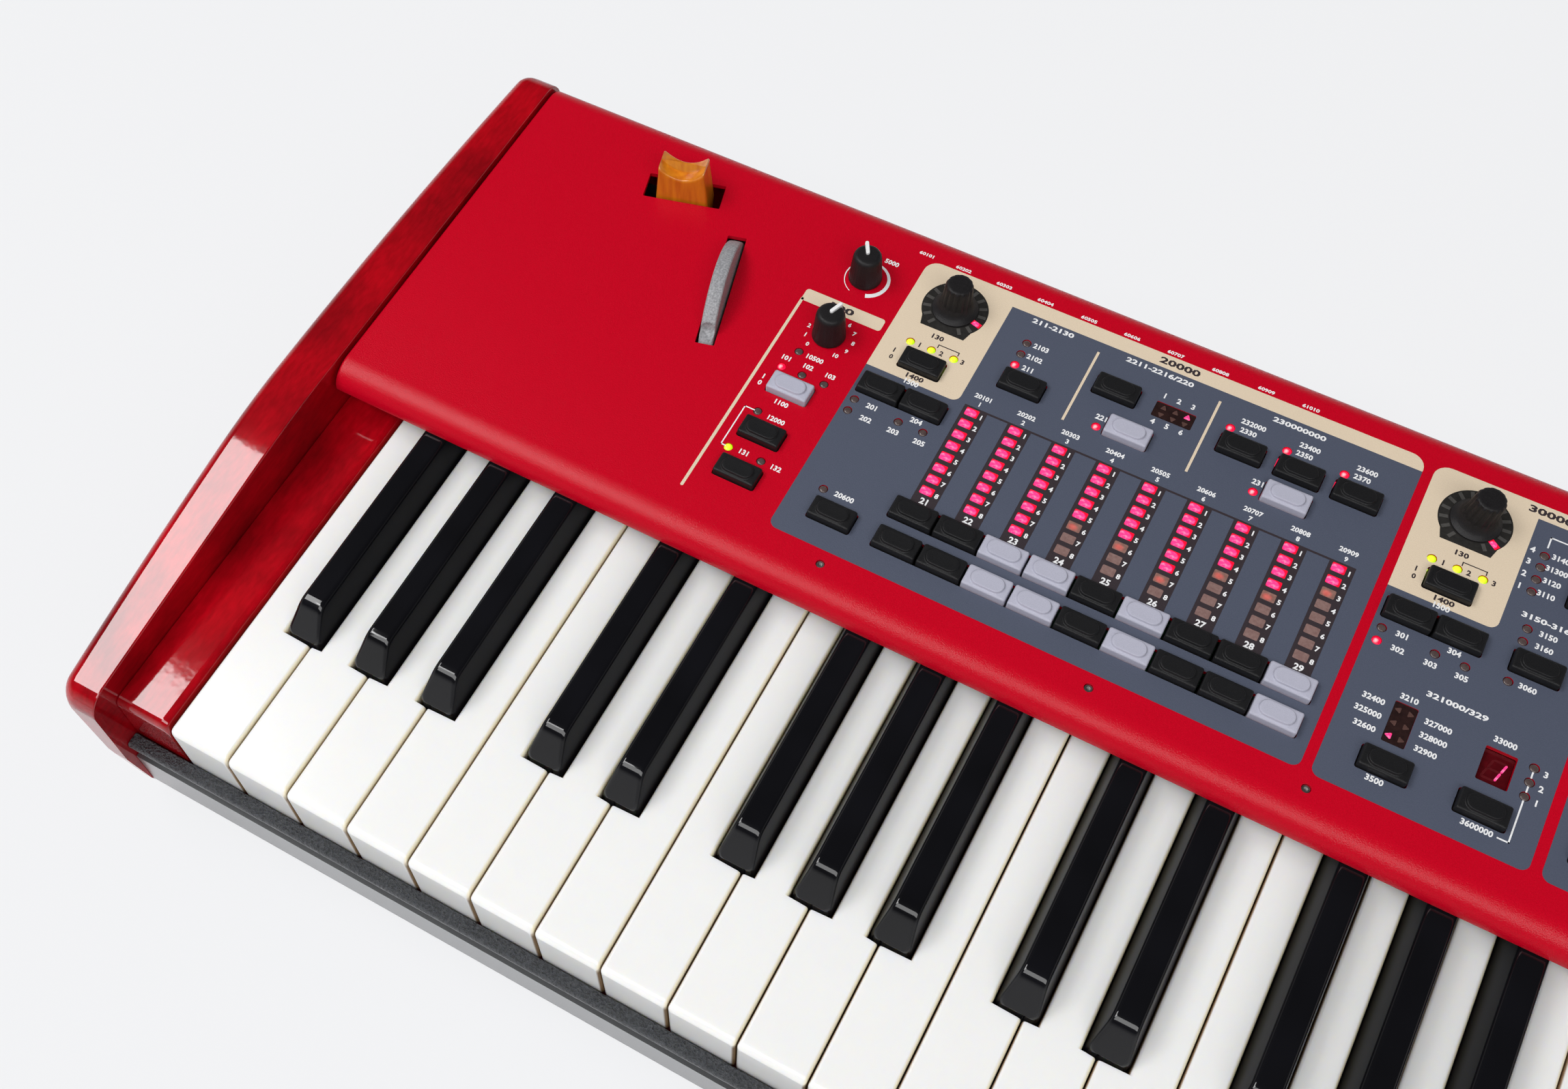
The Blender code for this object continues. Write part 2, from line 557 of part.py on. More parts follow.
def button_rings(low):
    """Button cap from its foot up: straight sides, sloping shoulder, raised pad."""
    shoulder = PANEL_Z + BUTTON_RISE
    pad_foot = (BUTTON_PAD_WIDTH + BUTTON_PAD_FLARE, BUTTON_PAD_DEPTH + BUTTON_PAD_FLARE)
    pad_top = (BUTTON_PAD_WIDTH, BUTTON_PAD_DEPTH)
    return [rounded_rectangle(BUTTON_WIDTH, BUTTON_DEPTH, BUTTON_CORNER, low),
            rounded_rectangle(BUTTON_WIDTH, BUTTON_DEPTH, BUTTON_CORNER, shoulder - BUTTON_SHOULDER),
            rounded_rectangle(*pad_foot, BUTTON_PAD_ROUND * pad_foot[1], shoulder),
            rounded_rectangle(*pad_top, BUTTON_PAD_ROUND * pad_top[1], shoulder + BUTTON_PLATEAU)]


def place_rings(rings, x, y):
    """Move rings from the axis to a place on the panel."""
    cx, cy = panel_place(x, y)
    return [[(px + cx, py + cy, pz) for px, py, pz in ring] for ring in rings]


def add_moving_button(name, x, y, material_name):
    """A cap that slides down in its panel hole; its origin is on its own axis."""
    build = bmesh.new()
    low = BOARD_TOP_Z + BUTTON_TRAVEL + SEAT_GAP
    loft(build, button_rings(low))
    bmesh.ops.translate(build, verts=build.verts, vec=(0, 0, -PANEL_Z))
    add_object(name, as_mesh(name, build), material_name, (*panel_place(x, y), PANEL_Z))


def knob_profile():
    """Tapered knob with a rounded rim, over its shaft."""
    top = PANEL_Z + KNOB_HEIGHT
    foot = PANEL_Z + KNOB_FLOAT
    low = BOARD_TOP_Z + SEAT_GAP
    return [(SHAFT_RADIUS, low), (SHAFT_RADIUS, foot), (KNOB_FOOT_RADIUS, foot),
            (KNOB_FOOT_RADIUS, foot + KNOB_BAND), (KNOB_TOP_RADIUS, top - KNOB_RIM),
            (KNOB_TOP_RADIUS - KNOB_RIM, top)]


def dial_profile():
    """Level dial: conical skirt, then a narrow tapered grip."""
    top = PANEL_Z + DIAL_HEIGHT
    foot = PANEL_Z + KNOB_FLOAT
    low = BOARD_TOP_Z + SEAT_GAP
    return [(SHAFT_RADIUS, low), (SHAFT_RADIUS, foot), (DIAL_FOOT_RADIUS, foot),
            (DIAL_NECK_RADIUS, foot + DIAL_SKIRT), (DIAL_TOP_RADIUS, top)]


def add_knob(name, x, y, profile):
    """A knob on its shaft; its origin is on the shaft's axis at the panel."""
    build = bmesh.new()
    revolve(build, [(radius, z - PANEL_Z) for radius, z in profile], KNOB_SIDES)
    add_object(name, as_mesh(name, build, smooth=True), "black_plastic", (*panel_place(x, y), PANEL_Z))


def add_pointer(name, x, y, angle):
    """Raised bar on a knob's top, from past the axis to the rim."""
    width, length, height = POINTER_SIZE
    reach = KNOB_TOP_RADIUS - KNOB_RIM - POINTER_INSET
    turn = Matrix.Rotation(angle, 3, "Z")
    top = PANEL_Z + KNOB_HEIGHT
    middle = Vector((*panel_place(x, y), 0))
    corners = [turn @ Vector(p) + middle for p in
               ((-width / 2, reach - length, 0), (width / 2, reach - length, 0),
                (width / 2, reach, 0), (-width / 2, reach, 0))]
    bar = bmesh.new()
    loft(bar, [[(c.x, c.y, z) for c in corners] for z in (top - POINTER_SINK, top + height)])
    add_boolean(bpy.data.objects[name], guide(name + "_pointer_guide", bar), "UNION")


def build_controls():
    """Buttons, knobs and dials that move, and the control board with the rest."""
    for name, (x, y, colour) in MOVING_BUTTONS.items():
        add_moving_button(name, x, y, colour)
    add_knob("master_level_knob", KNOB_X, MASTER_KNOB_Y, knob_profile())
    add_knob("drive_knob", KNOB_X, DRIVE_KNOB_Y, knob_profile())
    add_pointer("master_level_knob", KNOB_X, MASTER_KNOB_Y, MASTER_POINTER)
    add_pointer("drive_knob", KNOB_X, DRIVE_KNOB_Y, DRIVE_POINTER)
    for section in ("organ", "piano"):
        add_knob(section + "_level_dial", SECTION_XS[section] + DIAL_INSET, DIAL_Y, dial_profile())

    board = bmesh.new()
    x0, y0 = panel_place(*BOARD_START)
    x1, y1 = -LEFT_X, REAR_Y - BOARD_MARGIN
    box(board, (x0, y0, BOARD_TOP_Z - BOARD_SHEET), (x1, y1, BOARD_TOP_Z))
    piece = add_object("control_board", as_mesh("control_board", board), "circuit_board")
    caps = bmesh.new()
    inside = BOARD_TOP_Z - BOARD_SHEET / 2
    for x, y in carried_button_places():
        loft(caps, place_rings(button_rings(inside), x, y))
    for x, y in carried_dial_places():
        profile = [(SHAFT_RADIUS, inside)] + dial_profile()[1:]
        revolve(caps, profile, CARRIED_SIDES, (*panel_place(x, y), 0))
    for x in BOARD_POSTS_X:
        post = [(POST_RADIUS, inside), (POST_RADIUS, PANEL_UNDER_Z - SEAT_GAP)]
        revolve(caps, post, POST_SIDES, (*panel_place(x, BOARD_POSTS_Y), 0))
    add_boolean(piece, guide("control_board_guide", caps), "UNION")


def turned_box(build, place, size, low, high, turn):
    """Box centred on a panel place, turned about Z."""
    w, d = size[0] / 2, size[1] / 2
    centre = Vector((*panel_place(*place), 0))
    spin = Matrix.Rotation(turn, 3, "Z")
    corners = [spin @ Vector((x, y, 0)) + centre for x, y in ((-w, -d), (w, -d), (w, d), (-w, d))]
    loft(build, [[(c.x, c.y, z) for c in corners] for z in (low, high)])


def window_places():
    """Display windows of the panel: (x, y, width, depth)."""
    piano = SECTION_XS["piano"] + DIAL_INSET
    middle = (SECTION_XS["piano"] + PIANO_WIDTH + SECTION_XS["synth"]) / 2
    places = [VIBRATO_WINDOW, (middle, *PROGRAM_WINDOW)]
    return places + [(piano + x, y, w, d) for x, y, w, d in (TYPE_WINDOW, MODEL_WINDOW)]


def panel_cutters(build):
    """Holes for every control, clear of the caps by the button and shaft clearances."""
    low, high = PANEL_UNDER_Z - CUT_MARGIN, PANEL_Z + CUT_MARGIN
    hole = (BUTTON_WIDTH + 2 * BUTTON_CLEARANCE, BUTTON_DEPTH + 2 * BUTTON_CLEARANCE)
    rows = {}
    for x, y in [(x, y) for x, y, _ in MOVING_BUTTONS.values()] + carried_button_places():
        rows.setdefault(round(y, 5), []).append(x)
    for y, xs in rows.items():
        xs.sort()
        runs = [[xs[0], xs[0]]]
        for x in xs[1:]:
            if x - runs[-1][1] < hole[0] + HOLE_WEB:
                runs[-1][1] = x
            else:
                runs.append([x, x])
        for first, last in runs:
            turned_box(build, ((first + last) / 2, y), (hole[0] + last - first, hole[1]), low, high, 0)
    shafts = [(KNOB_X, MASTER_KNOB_Y), (KNOB_X, DRIVE_KNOB_Y)] + carried_dial_places()
    shafts += [(SECTION_XS[name] + DIAL_INSET, DIAL_Y) for name in ("organ", "piano")]
    for x, y in shafts:
        bore = SHAFT_RADIUS + SHAFT_CLEARANCE
        revolve(build, [(bore, low), (bore, high)], HOLE_SIDES, (*panel_place(x, y), 0))
    for x, y, width, depth in window_places():
        turned_box(build, (x, y), (width, depth), low, high, 0)
    turned_box(build, STICK_PLACE, STICK_SLOT, low, high, STRIP_TILT)
    turned_box(build, WHEEL_PLACE, WHEEL_SLOT, low, high, STRIP_TILT)


def build_top_panel():
    """Red sheet: round lip over the keys, flat top, rolled rear edge and rear face."""
    t = PANEL_SHEET
    front = FRONT_Y + PANEL_LIP_Y
    r, s = PANEL_LIP_RADIUS, PANEL_REAR_RADIUS
    outer = arc(front + r, PANEL_Z - r, r, 180, 90, 8)
    outer += arc(PANEL_REAR_Y - s, PANEL_Z - s, s, 90, 0, 8)
    outer.append((PANEL_REAR_Y, PANEL_Z - PANEL_REAR_DROP))
    inner = arc(front + r, PANEL_Z - r, r - t, 180, 90, 6)
    inner += arc(PANEL_REAR_Y - s, PANEL_Z - s, s - t, 90, 0, 6)
    inner.append((PANEL_REAR_Y - t, PANEL_Z - PANEL_REAR_DROP))
    sheet = bmesh.new()
    half = CHEEK_X - PANEL_END_GAP
    extrude_x(sheet, outer + inner[::-1], -half, half)
    piece = add_object("top_panel", as_mesh("top_panel", sheet, smooth=True), "red_panel")
    holes = bmesh.new()
    panel_cutters(holes)
    add_boolean(piece, guide("top_panel_guide", holes), "DIFFERENCE")


def socket_places():
    """Jack sockets along the rear: world X of each."""
    return [LEFT_X + SOCKET_FIRST_X + i * SOCKET_PITCH for i in range(SOCKET_COUNT)]


def build_bottom_pan():
    """Black steel pan: floor, front face under the rail, rear face with the socket holes."""
    t = PAN_SHEET
    front = RAIL_FRONT_Y
    rear = PANEL_REAR_Y
    front_top = RAIL_TOP_Z - RAIL_HEIGHT - SEAT_GAP
    rear_top = PANEL_Z - PANEL_REAR_DROP - SEAT_GAP
    r = PAN_CORNER
    outer = [(front, front_top)] + arc(front + r, PAN_Z + r, r, 180, 270, 3)
    outer += arc(rear - r, PAN_Z + r, r, 270, 360, 3) + [(rear, rear_top)]
    inner = [(rear - t, rear_top), (rear - t, PAN_FLOOR_Z),
             (front + t, PAN_FLOOR_Z), (front + t, front_top)]
    pan = bmesh.new()
    half = CHEEK_X - SEAT_GAP
    extrude_x(pan, outer + inner, -half, half)
    piece = add_object("bottom_pan", as_mesh("bottom_pan", pan), "black_steel")
    holes = bmesh.new()
    z = PAN_Z + SOCKET_Z
    wall = (rear - t - CUT_MARGIN, rear + CUT_MARGIN)
    for x in socket_places():
        bore = SOCKET_RADIUS + SOCKET_HOLE_CLEARANCE
        revolve(holes, [(bore, wall[0]), (bore, wall[1])], HOLE_SIDES, (x, 0, z), "Y")
    for x in DATA_X:
        bore = DATA_RADIUS + SOCKET_HOLE_CLEARANCE
        revolve(holes, [(bore, wall[0]), (bore, wall[1])], DATA_SIDES, (LEFT_X + x, 0, z), "Y")
    w, h = INLET_SIZE[0] / 2 + SOCKET_HOLE_CLEARANCE, INLET_SIZE[1] / 2 + SOCKET_HOLE_CLEARANCE
    x = LEFT_X + INLET_X
    box(holes, (x - w, wall[0], z - h), (x + w, wall[1], z + h))
    add_boolean(piece, guide("bottom_pan_guide", holes), "DIFFERENCE")


def build_front_rail():
    """Grained rail in front of the keys: round nose, shadow groove under it, foot on the pan."""
    back, nose = RAIL_BACK_Y, RAIL_FRONT_Y
    top, low = RAIL_TOP_Z, RAIL_TOP_Z - RAIL_HEIGHT
    groove_low = low + RAIL_FOOT
    groove_top = groove_low + RAIL_GROOVE_HEIGHT
    profile = [(back, top)] + arc(nose + RAIL_EDGE, top - RAIL_EDGE, RAIL_EDGE, 90, 180, 3)
    profile += [(nose, groove_top), (nose + RAIL_GROOVE, groove_top - RAIL_GROOVE_SLOPE),
                (nose + RAIL_GROOVE, groove_low), (nose, groove_low - RAIL_GROOVE_SLOPE),
                (nose, low), (back, low)]
    rail = bmesh.new()
    half = CHEEK_X - SEAT_GAP
    extrude_x(rail, profile, -half, half)
    add_object("front_rail", as_mesh("front_rail", rail), "black_plastic")


def cheek_top(y):
    """Height of the cheek's top line at a distance from the key fronts."""
    slope = (CHEEK_RISE - CHEEK_FRONT_RISE) / CHEEK_KNEE_Y
    if y >= CHEEK_KNEE_Y + CHEEK_KNEE_RUN:
        return KEY_Z + CHEEK_RISE
    if y <= CHEEK_KNEE_Y - CHEEK_KNEE_RUN:
        return KEY_Z + CHEEK_FRONT_RISE + slope * y
    rest = CHEEK_KNEE_Y + CHEEK_KNEE_RUN - y
    return KEY_Z + CHEEK_RISE - slope * rest * rest / (4 * CHEEK_KNEE_RUN)


def cheek_rings():
    """Cross-sections of a cheek from front to rear, as (outward, y, z) points."""
    front, rear = -FRONT_OVERHANG, DEPTH - FRONT_OVERHANG
    r = CHEEK_CORNER
    steps = [r * (1 - math.cos(math.radians(a))) for a in (0, 20, 40, 60, 90)]
    knee = [CHEEK_KNEE_Y + CHEEK_KNEE_RUN * share for share in (-1, -0.33, 0.33, 1)]
    middle = (rear + CHEEK_KNEE_Y) / 2
    places = [front + s for s in steps] + [CHEEK_RING_INSET] + knee + [middle, rear - CHEEK_RING_INSET]
    places += [rear - s for s in reversed(steps)]
    rings = []
    for y in places:
        end = min(y - front, rear - y)
        fall = r - math.sqrt(max(0.0, r * r - (r - end) ** 2)) if end < r else 0.0
        top = cheek_top(y) - fall
        rise = CHEEK_LEAN_BACK - (y - front)
        low = PAN_Z + (CASE_BELOW_KEYS * CHEEK_LEAN_HEIGHT * rise / CHEEK_LEAN_BACK if rise > 0 else 0.0)
        bow = 1 - ((y - (front + rear) / 2) / (DEPTH / 2)) ** 2
        out = CHEEK_THICKNESS + CHEEK_BULGE * bow - CHEEK_END_DRAW * fall
        foot = CHEEK_FOOT_THICKNESS + (out - CHEEK_FOOT_THICKNESS) * (low - PAN_Z) / CASE_BELOW_KEYS
        e = CHEEK_EDGE
        ring = [(0.0, low), (0.0, top - CHEEK_INNER_EDGE), (CHEEK_INNER_EDGE, top)]
        ring += [(out - e + e * math.sin(math.radians(a)), top - e + e * math.cos(math.radians(a)))
                 for a in (0, 25, 50, 75)]
        ring += [(foot, low + CHEEK_FOOT_EDGE), (foot - CHEEK_FOOT_EDGE, low)]
        rings.append([(out_x, FRONT_Y + y, z) for out_x, z in ring])
    return rings


def build_cheeks():
    """Lacquered wooden ends and the blocks beside the outer keys, mirrored for the right."""
    for name, side in (("left", -1), ("right", 1)):
        cheek = bmesh.new()
        loft(cheek, [[(side * (CHEEK_X + out), y, z) for out, y, z in ring] for ring in cheek_rings()])
        add_object(name + "_end_cheek", as_mesh(name + "_end_cheek", cheek, smooth=True), "red_wood")
        block = bmesh.new()
        inner, outer = KEYBED_LENGTH / 2 + KEY_GAP, CHEEK_X - SEAT_GAP
        e = BLOCK_EDGE
        front, rear = FRONT_Y, HINGE_BAR_Y + HINGE_BAR_DEPTH
        rings = []
        for angle in (0, 30, 60, 90):
            a = math.radians(angle)
            y, top = front + e * (1 - math.cos(a)), KEY_Z - e * (1 - math.sin(a))
            low = PAN_FLOOR_Z + SEAT_GAP
            edge = [(inner + e * (1 - math.cos(b)), top - e * (1 - math.sin(b)))
                    for b in (0, math.radians(30), math.radians(60), math.radians(90))]
            section = [(inner, low)] + edge + [(outer, top), (outer, low)]
            rings.append([(side * x, y, z) for x, z in section])
        rings.append([(x, rear, z) for x, _, z in rings[-1]])
        loft(block, rings)
        add_object(name + "_key_block", as_mesh(name + "_key_block", block, smooth=True), "red_wood")


def tilted(point, place):
    """World point from one given in the tilted frame of the stick or wheel."""
    cx, cy = panel_place(*place)
    spin = Matrix.Rotation(STRIP_TILT, 3, "Z")
    moved = spin @ Vector(point)
    return (moved.x + cx, moved.y + cy, moved.z)


def fork_profile(half, top):
    """Closed (across, z) outline of a fork on the pan, for a piece of this half thickness."""
    inner = half + BRACKET_CLEARANCE
    outer = inner + BRACKET_SHEET
    low = PAN_FLOOR_Z + SEAT_GAP
    floor = low + BRACKET_FLOOR
    return [(-outer, low), (outer, low), (outer, top), (inner, top), (inner, floor),
            (-inner, floor), (-inner, top), (-outer, top)]


def build_pitch_stick():
    """Wooden stick that tips left and right on a pin, and the bracket that holds the pin."""
    pivot = PANEL_Z - STICK_PIVOT_DROP
    half = STICK_DEPTH / 2
    stick = bmesh.new()
    rings = []
    for i in range(STICK_STEPS + 1):
        share = 2 * i / STICK_STEPS - 1
        top = STICK_PIVOT_DROP + STICK_RISE - STICK_SADDLE * (1 - share * share)
        foot, mid, head = STICK_FOOT[0] * share, STICK_WIDTH / 2 * share, STICK_TOP_WIDTH / 2 * share
        side = [(foot, -STICK_FOOT[1]), (mid, STICK_PIVOT_DROP - STICK_WAIST_DROP), (head, top)]
        ring = [(x, -half, z) for x, z in side] + [(x, half, z) for x, z in reversed(side)]
        rings.append(ring)
    loft(stick, rings)
    piece = add_object("pitch_stick", as_mesh("pitch_stick", stick), "honey_wood",
                       (*panel_place(*STICK_PLACE), pivot), STRIP_TILT)
    pin = bmesh.new()
    reach = half + BRACKET_CLEARANCE + BRACKET_SHEET
    revolve(pin, [(STICK_PIN_RADIUS, -reach), (STICK_PIN_RADIUS, reach)], PIN_SIDES, (0, 0, 0), "Y")
    pin_guide = guide("pitch_pin_guide", pin)
    pin_guide.location = piece.location
    pin_guide.rotation_euler = piece.rotation_euler
    add_boolean(piece, pin_guide, "UNION")

    bracket = bmesh.new()
    profile = fork_profile(half, pivot + STICK_FORK[1])
    ends = (-STICK_FORK[0], STICK_FORK[0])
    loft(bracket, [[tilted((x, y, z), STICK_PLACE) for y, z in profile] for x in ends])
    holder = add_object("pitch_stick_bracket", as_mesh("pitch_stick_bracket", bracket), "zinc_steel")
    bore = bmesh.new()
    radius, cut = STICK_PIN_RADIUS + BRACKET_CLEARANCE, reach + CUT_MARGIN
    revolve(bore, [(radius, -cut), (radius, cut)], PIN_SIDES, (0, 0, 0), "Y")
    bore_guide = guide("pitch_bore_guide", bore)
    bore_guide.location = piece.location
    bore_guide.rotation_euler = piece.rotation_euler
    add_boolean(holder, bore_guide, "DIFFERENCE")


def build_mod_wheel():
    """Thin wheel with a thumb dimple, on an axle held by a fork."""
    axle_z = PANEL_Z + WHEEL_RISE - WHEEL_RADIUS
    half, edge = WHEEL_THICKNESS / 2, WHEEL_EDGE
    wheel = bmesh.new()
    reach = half + BRACKET_CLEARANCE + BRACKET_SHEET
    axle, rim = WHEEL_AXLE_RADIUS, WHEEL_RADIUS
    profile = [(axle, -reach), (axle, -half), (rim - edge, -half), (rim, edge - half), (rim, half - edge),
               (rim - edge, half), (axle, half), (axle, reach)]
    revolve(wheel, profile, WHEEL_SIDES, (0, 0, 0), "X")
    location = (*panel_place(*WHEEL_PLACE), axle_z)
    mesh = as_mesh("mod_wheel", wheel, smooth=True)
    piece = add_object("mod_wheel", mesh, "grey_stone", location, STRIP_TILT)
    ball = bmesh.new()
    bmesh.ops.create_uvsphere(ball, u_segments=12, v_segments=8, radius=WHEEL_DIMPLE_RADIUS)
    away = rim + WHEEL_DIMPLE_RISE * WHEEL_DIMPLE_RADIUS
    centre = (0, -away * math.sin(WHEEL_DIMPLE_ANGLE), away * math.cos(WHEEL_DIMPLE_ANGLE))
    bmesh.ops.translate(ball, verts=ball.verts, vec=centre)
    ball_guide = guide("mod_dimple_guide", ball)
    ball_guide.location = location
    ball_guide.rotation_euler = (0, 0, STRIP_TILT)
    add_boolean(piece, ball_guide, "DIFFERENCE")

    fork = bmesh.new()
    profile = fork_profile(half, axle_z + WHEEL_FORK[1])
    ends = (-WHEEL_FORK[0], WHEEL_FORK[0])
    loft(fork, [[tilted((x, y, z), WHEEL_PLACE) for x, z in profile] for y in ends])
    holder = add_object("mod_wheel_bracket", as_mesh("mod_wheel_bracket", fork), "zinc_steel")
    bore = bmesh.new()
    radius, cut = axle + BRACKET_CLEARANCE, reach + CUT_MARGIN
    revolve(bore, [(radius, -cut), (radius, cut)], PIN_SIDES, (0, 0, 0), "X")
    bore_guide = guide("mod_bore_guide", bore)
    bore_guide.location = location
    bore_guide.rotation_euler = (0, 0, STRIP_TILT)
    add_boolean(holder, bore_guide, "DIFFERENCE")


def build_inner_parts():
    """Main board with the rear sockets, and the power supply."""
    z = PAN_Z + SOCKET_Z
    top = z - SOCKET_RADIUS + SOCKET_SEAT
    rear = PANEL_REAR_Y - PAN_SHEET - SEAT_GAP
    board = bmesh.new()
    x0, x1 = LEFT_X + MAIN_BOARD_X, LEFT_X + INLET_X + MAIN_BOARD_MARGIN
    box(board, (x0, MAIN_BOARD_Y, top - BOARD_SHEET), (x1, rear, top))
    piece = add_object("main_board", as_mesh("main_board", board), "circuit_board")
    parts = bmesh.new()
    inside, end = rear - SOCKET_DEPTH, PANEL_REAR_Y + SOCKET_STAND_OFF - PAN_SHEET
    for x in socket_places():
        profile = [(SOCKET_RADIUS, inside), (SOCKET_RADIUS, end), (SOCKET_BORE_RADIUS, end),
                   (SOCKET_BORE_RADIUS, end - SOCKET_BORE_DEPTH)]
        revolve(parts, profile, HOLE_SIDES, (x, 0, z), "Y")
    for x in DATA_X:
        revolve(parts, [(DATA_RADIUS, inside), (DATA_RADIUS, end)], DATA_SIDES, (LEFT_X + x, 0, z), "Y")
    w, h = INLET_SIZE[0] / 2, INLET_SIZE[1] / 2
    box(parts, (LEFT_X + INLET_X - w, inside, z - h), (LEFT_X + INLET_X + w, end, z + h))
    for x in (x0 + 2 * POST_RADIUS, (x0 + x1) / 2, x1 - 2 * POST_RADIUS):
        post = [(POST_RADIUS, PAN_FLOOR_Z + SEAT_GAP), (POST_RADIUS, top - BOARD_SHEET / 2)]
        revolve(parts, post, POST_SIDES, (x, MAIN_BOARD_Y + 2 * POST_RADIUS, 0))
    add_boolean(piece, guide("main_board_guide", parts), "UNION")

    supply = bmesh.new()
    x, half = LEFT_X + SUPPLY_X, SUPPLY_SIZE[0] / 2
    low = PAN_FLOOR_Z + SEAT_GAP
    box(supply, (x - half, SUPPLY_Y, low), (x + half, SUPPLY_Y + SUPPLY_SIZE[1], low + SUPPLY_SIZE[2]))
    add_object("power_supply", as_mesh("power_supply", supply), "zinc_steel")


def build_feet():
    """Four rubber feet under the pan."""
    top = PAN_Z - SEAT_GAP
    profile = [(FOOT_RADIUS - FOOT_TAPER, 0.0), (FOOT_RADIUS, top - FOOT_BAND), (FOOT_RADIUS, top)]
    for row, y in (("front", RAIL_FRONT_Y + FOOT_INSET[1]), ("rear", PANEL_REAR_Y - FOOT_INSET[1])):
        for name, side in (("left", -1), ("right", 1)):
            foot = bmesh.new()
            revolve(foot, profile, FOOT_SIDES)
            title = f"{row}_{name}_foot"
            place = (side * (CHEEK_X - FOOT_INSET[0]), y, 0)
            add_object(title, as_mesh(title, foot, smooth=True), "rubber", place)


build_keyboard()
build_key_frame()
build_top_panel()
build_bottom_pan()
build_front_rail()
build_cheeks()
build_controls()
build_pitch_stick()
build_mod_wheel()
build_inner_parts()
build_feet()
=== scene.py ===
# %% [markdown]
# # A red stage piano, dressed piece by piece
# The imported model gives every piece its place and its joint. This notebook loads it, then makes each
# visible surface again at the fineness that a close photograph needs: lacquered wood, powder-coated steel,
# glossy keys, rubbery buttons, printed fields and small lights.

# %% Load the frame
import math
import bmesh
import bpy
import numpy as np
from mathutils import Matrix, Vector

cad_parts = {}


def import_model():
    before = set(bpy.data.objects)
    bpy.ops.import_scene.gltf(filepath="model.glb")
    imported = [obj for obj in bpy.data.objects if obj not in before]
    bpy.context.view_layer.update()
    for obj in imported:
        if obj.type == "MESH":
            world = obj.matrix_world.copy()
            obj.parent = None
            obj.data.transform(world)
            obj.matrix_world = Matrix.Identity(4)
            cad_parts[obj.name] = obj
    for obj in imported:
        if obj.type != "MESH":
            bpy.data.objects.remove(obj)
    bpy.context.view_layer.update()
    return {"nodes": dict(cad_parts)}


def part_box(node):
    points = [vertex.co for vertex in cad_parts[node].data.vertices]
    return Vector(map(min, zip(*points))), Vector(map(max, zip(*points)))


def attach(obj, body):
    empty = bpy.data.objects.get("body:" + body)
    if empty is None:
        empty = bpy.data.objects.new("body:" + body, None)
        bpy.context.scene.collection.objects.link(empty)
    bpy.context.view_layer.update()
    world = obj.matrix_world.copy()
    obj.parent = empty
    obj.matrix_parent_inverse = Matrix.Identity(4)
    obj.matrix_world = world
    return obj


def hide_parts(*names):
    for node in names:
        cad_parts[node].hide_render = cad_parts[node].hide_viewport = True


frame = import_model()

# %% [markdown]
# ## One ruler for everything
# Panel makers measure from the keyboard. Here x starts at the lowest key's left edge, y at the key fronts and
# z at the white key tops, all in millimetres. One function turns such points into world metres.

# %% The ruler
KEY_PITCH = 23.5
WHITES, MOVING_WHITES = 43, 14
KEYS_WIDE = WHITES * KEY_PITCH
PANEL = 21.0                            # the panel's height above the white keys
CORNER = np.array([-KEYS_WIDE / 2, -141.25, 66.0])


def world(points):
    """World metres = (point in millimetres + corner of the keyboard) / 1000."""
    return (np.asarray(points, float) + CORNER) / 1000


def lay(node):
    """Low and high corner of a CAD node on the ruler, in millimetres."""
    return [np.array(corner) * 1000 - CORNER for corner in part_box(node)]


panel_low, panel_high = lay("top_panel")
print("panel runs x", panel_low[0].round(2), "to", panel_high[0].round(2), "y to", panel_high[1].round(2))

# %% [markdown]
# ## The camera stands where the photographer stood
# Fitting the corners of the keys and light bars gives the lens and the place. The photograph is cropped a
# little off centre, which the two small shifts repeat.

# %% Camera
def setting(thing, **values):
    """Set several properties of a thing in turn and give it back."""
    for name, value in values.items():
        setattr(thing, name, value)
    return thing


def show(name, data):
    """New object with this data, linked to the scene."""
    made = bpy.data.objects.new(name, data)
    bpy.context.scene.collection.objects.link(made)
    return made


lens_data = setting(bpy.data.cameras.new("view"), sensor_width=36.0, lens=38.08, shift_x=0.0914,
                    shift_y=0.0421, clip_start=0.01)
camera = show("camera", lens_data)
RIGHT = np.array([0.86789741, 0.49505550, -0.04091627])
DOWN = np.array([0.42176421, -0.77790697, -0.46580650])
AHEAD = np.array([-0.26242912, 0.38701524, -0.88394014])
turn = Matrix([[RIGHT[i], -DOWN[i], -AHEAD[i]] for i in range(3)]).to_4x4()
camera.matrix_world = Matrix.Translation((-0.24360, -0.24459, 0.56070)) @ turn
bpy.context.scene.camera = camera
print("lens", lens_data.lens, "mm")

# %% [markdown]
# ## Meshes as arrays
# Each shape below is worked out as rings of points. A body is a pair: its points in millimetres and its
# faces. `loft` joins rings that have equal counts, and `gather` puts many bodies into one piece, because a
# keyboard has hundreds of small repeats.

# %% Outlines
def arc(cx, cy, radius, start, end, steps):
    """Points (cx + r cos a, cy + r sin a) for a from start to end in degrees."""
    a = np.radians(np.linspace(start, end, steps + 1))
    return np.stack([cx + radius * np.cos(a), cy + radius * np.sin(a)], 1)


def circle(x, y, radius, sides=16):
    """Corners of an even polygon, which lie on the circle."""
    return arc(x, y, radius, 0, 360 - 360 / sides, sides - 1)


def rounded(width, depth, radius, steps=5):
    """Rounded rectangle about the origin: four quarter arcs, one at each corner."""
    w, d = width / 2 - radius, depth / 2 - radius
    corners = ((w, d, 0), (-w, d, 90), (-w, -d, 180), (w, -d, 270))
    return np.concatenate([arc(x, y, radius, a, a + 90, steps) for x, y, a in corners])


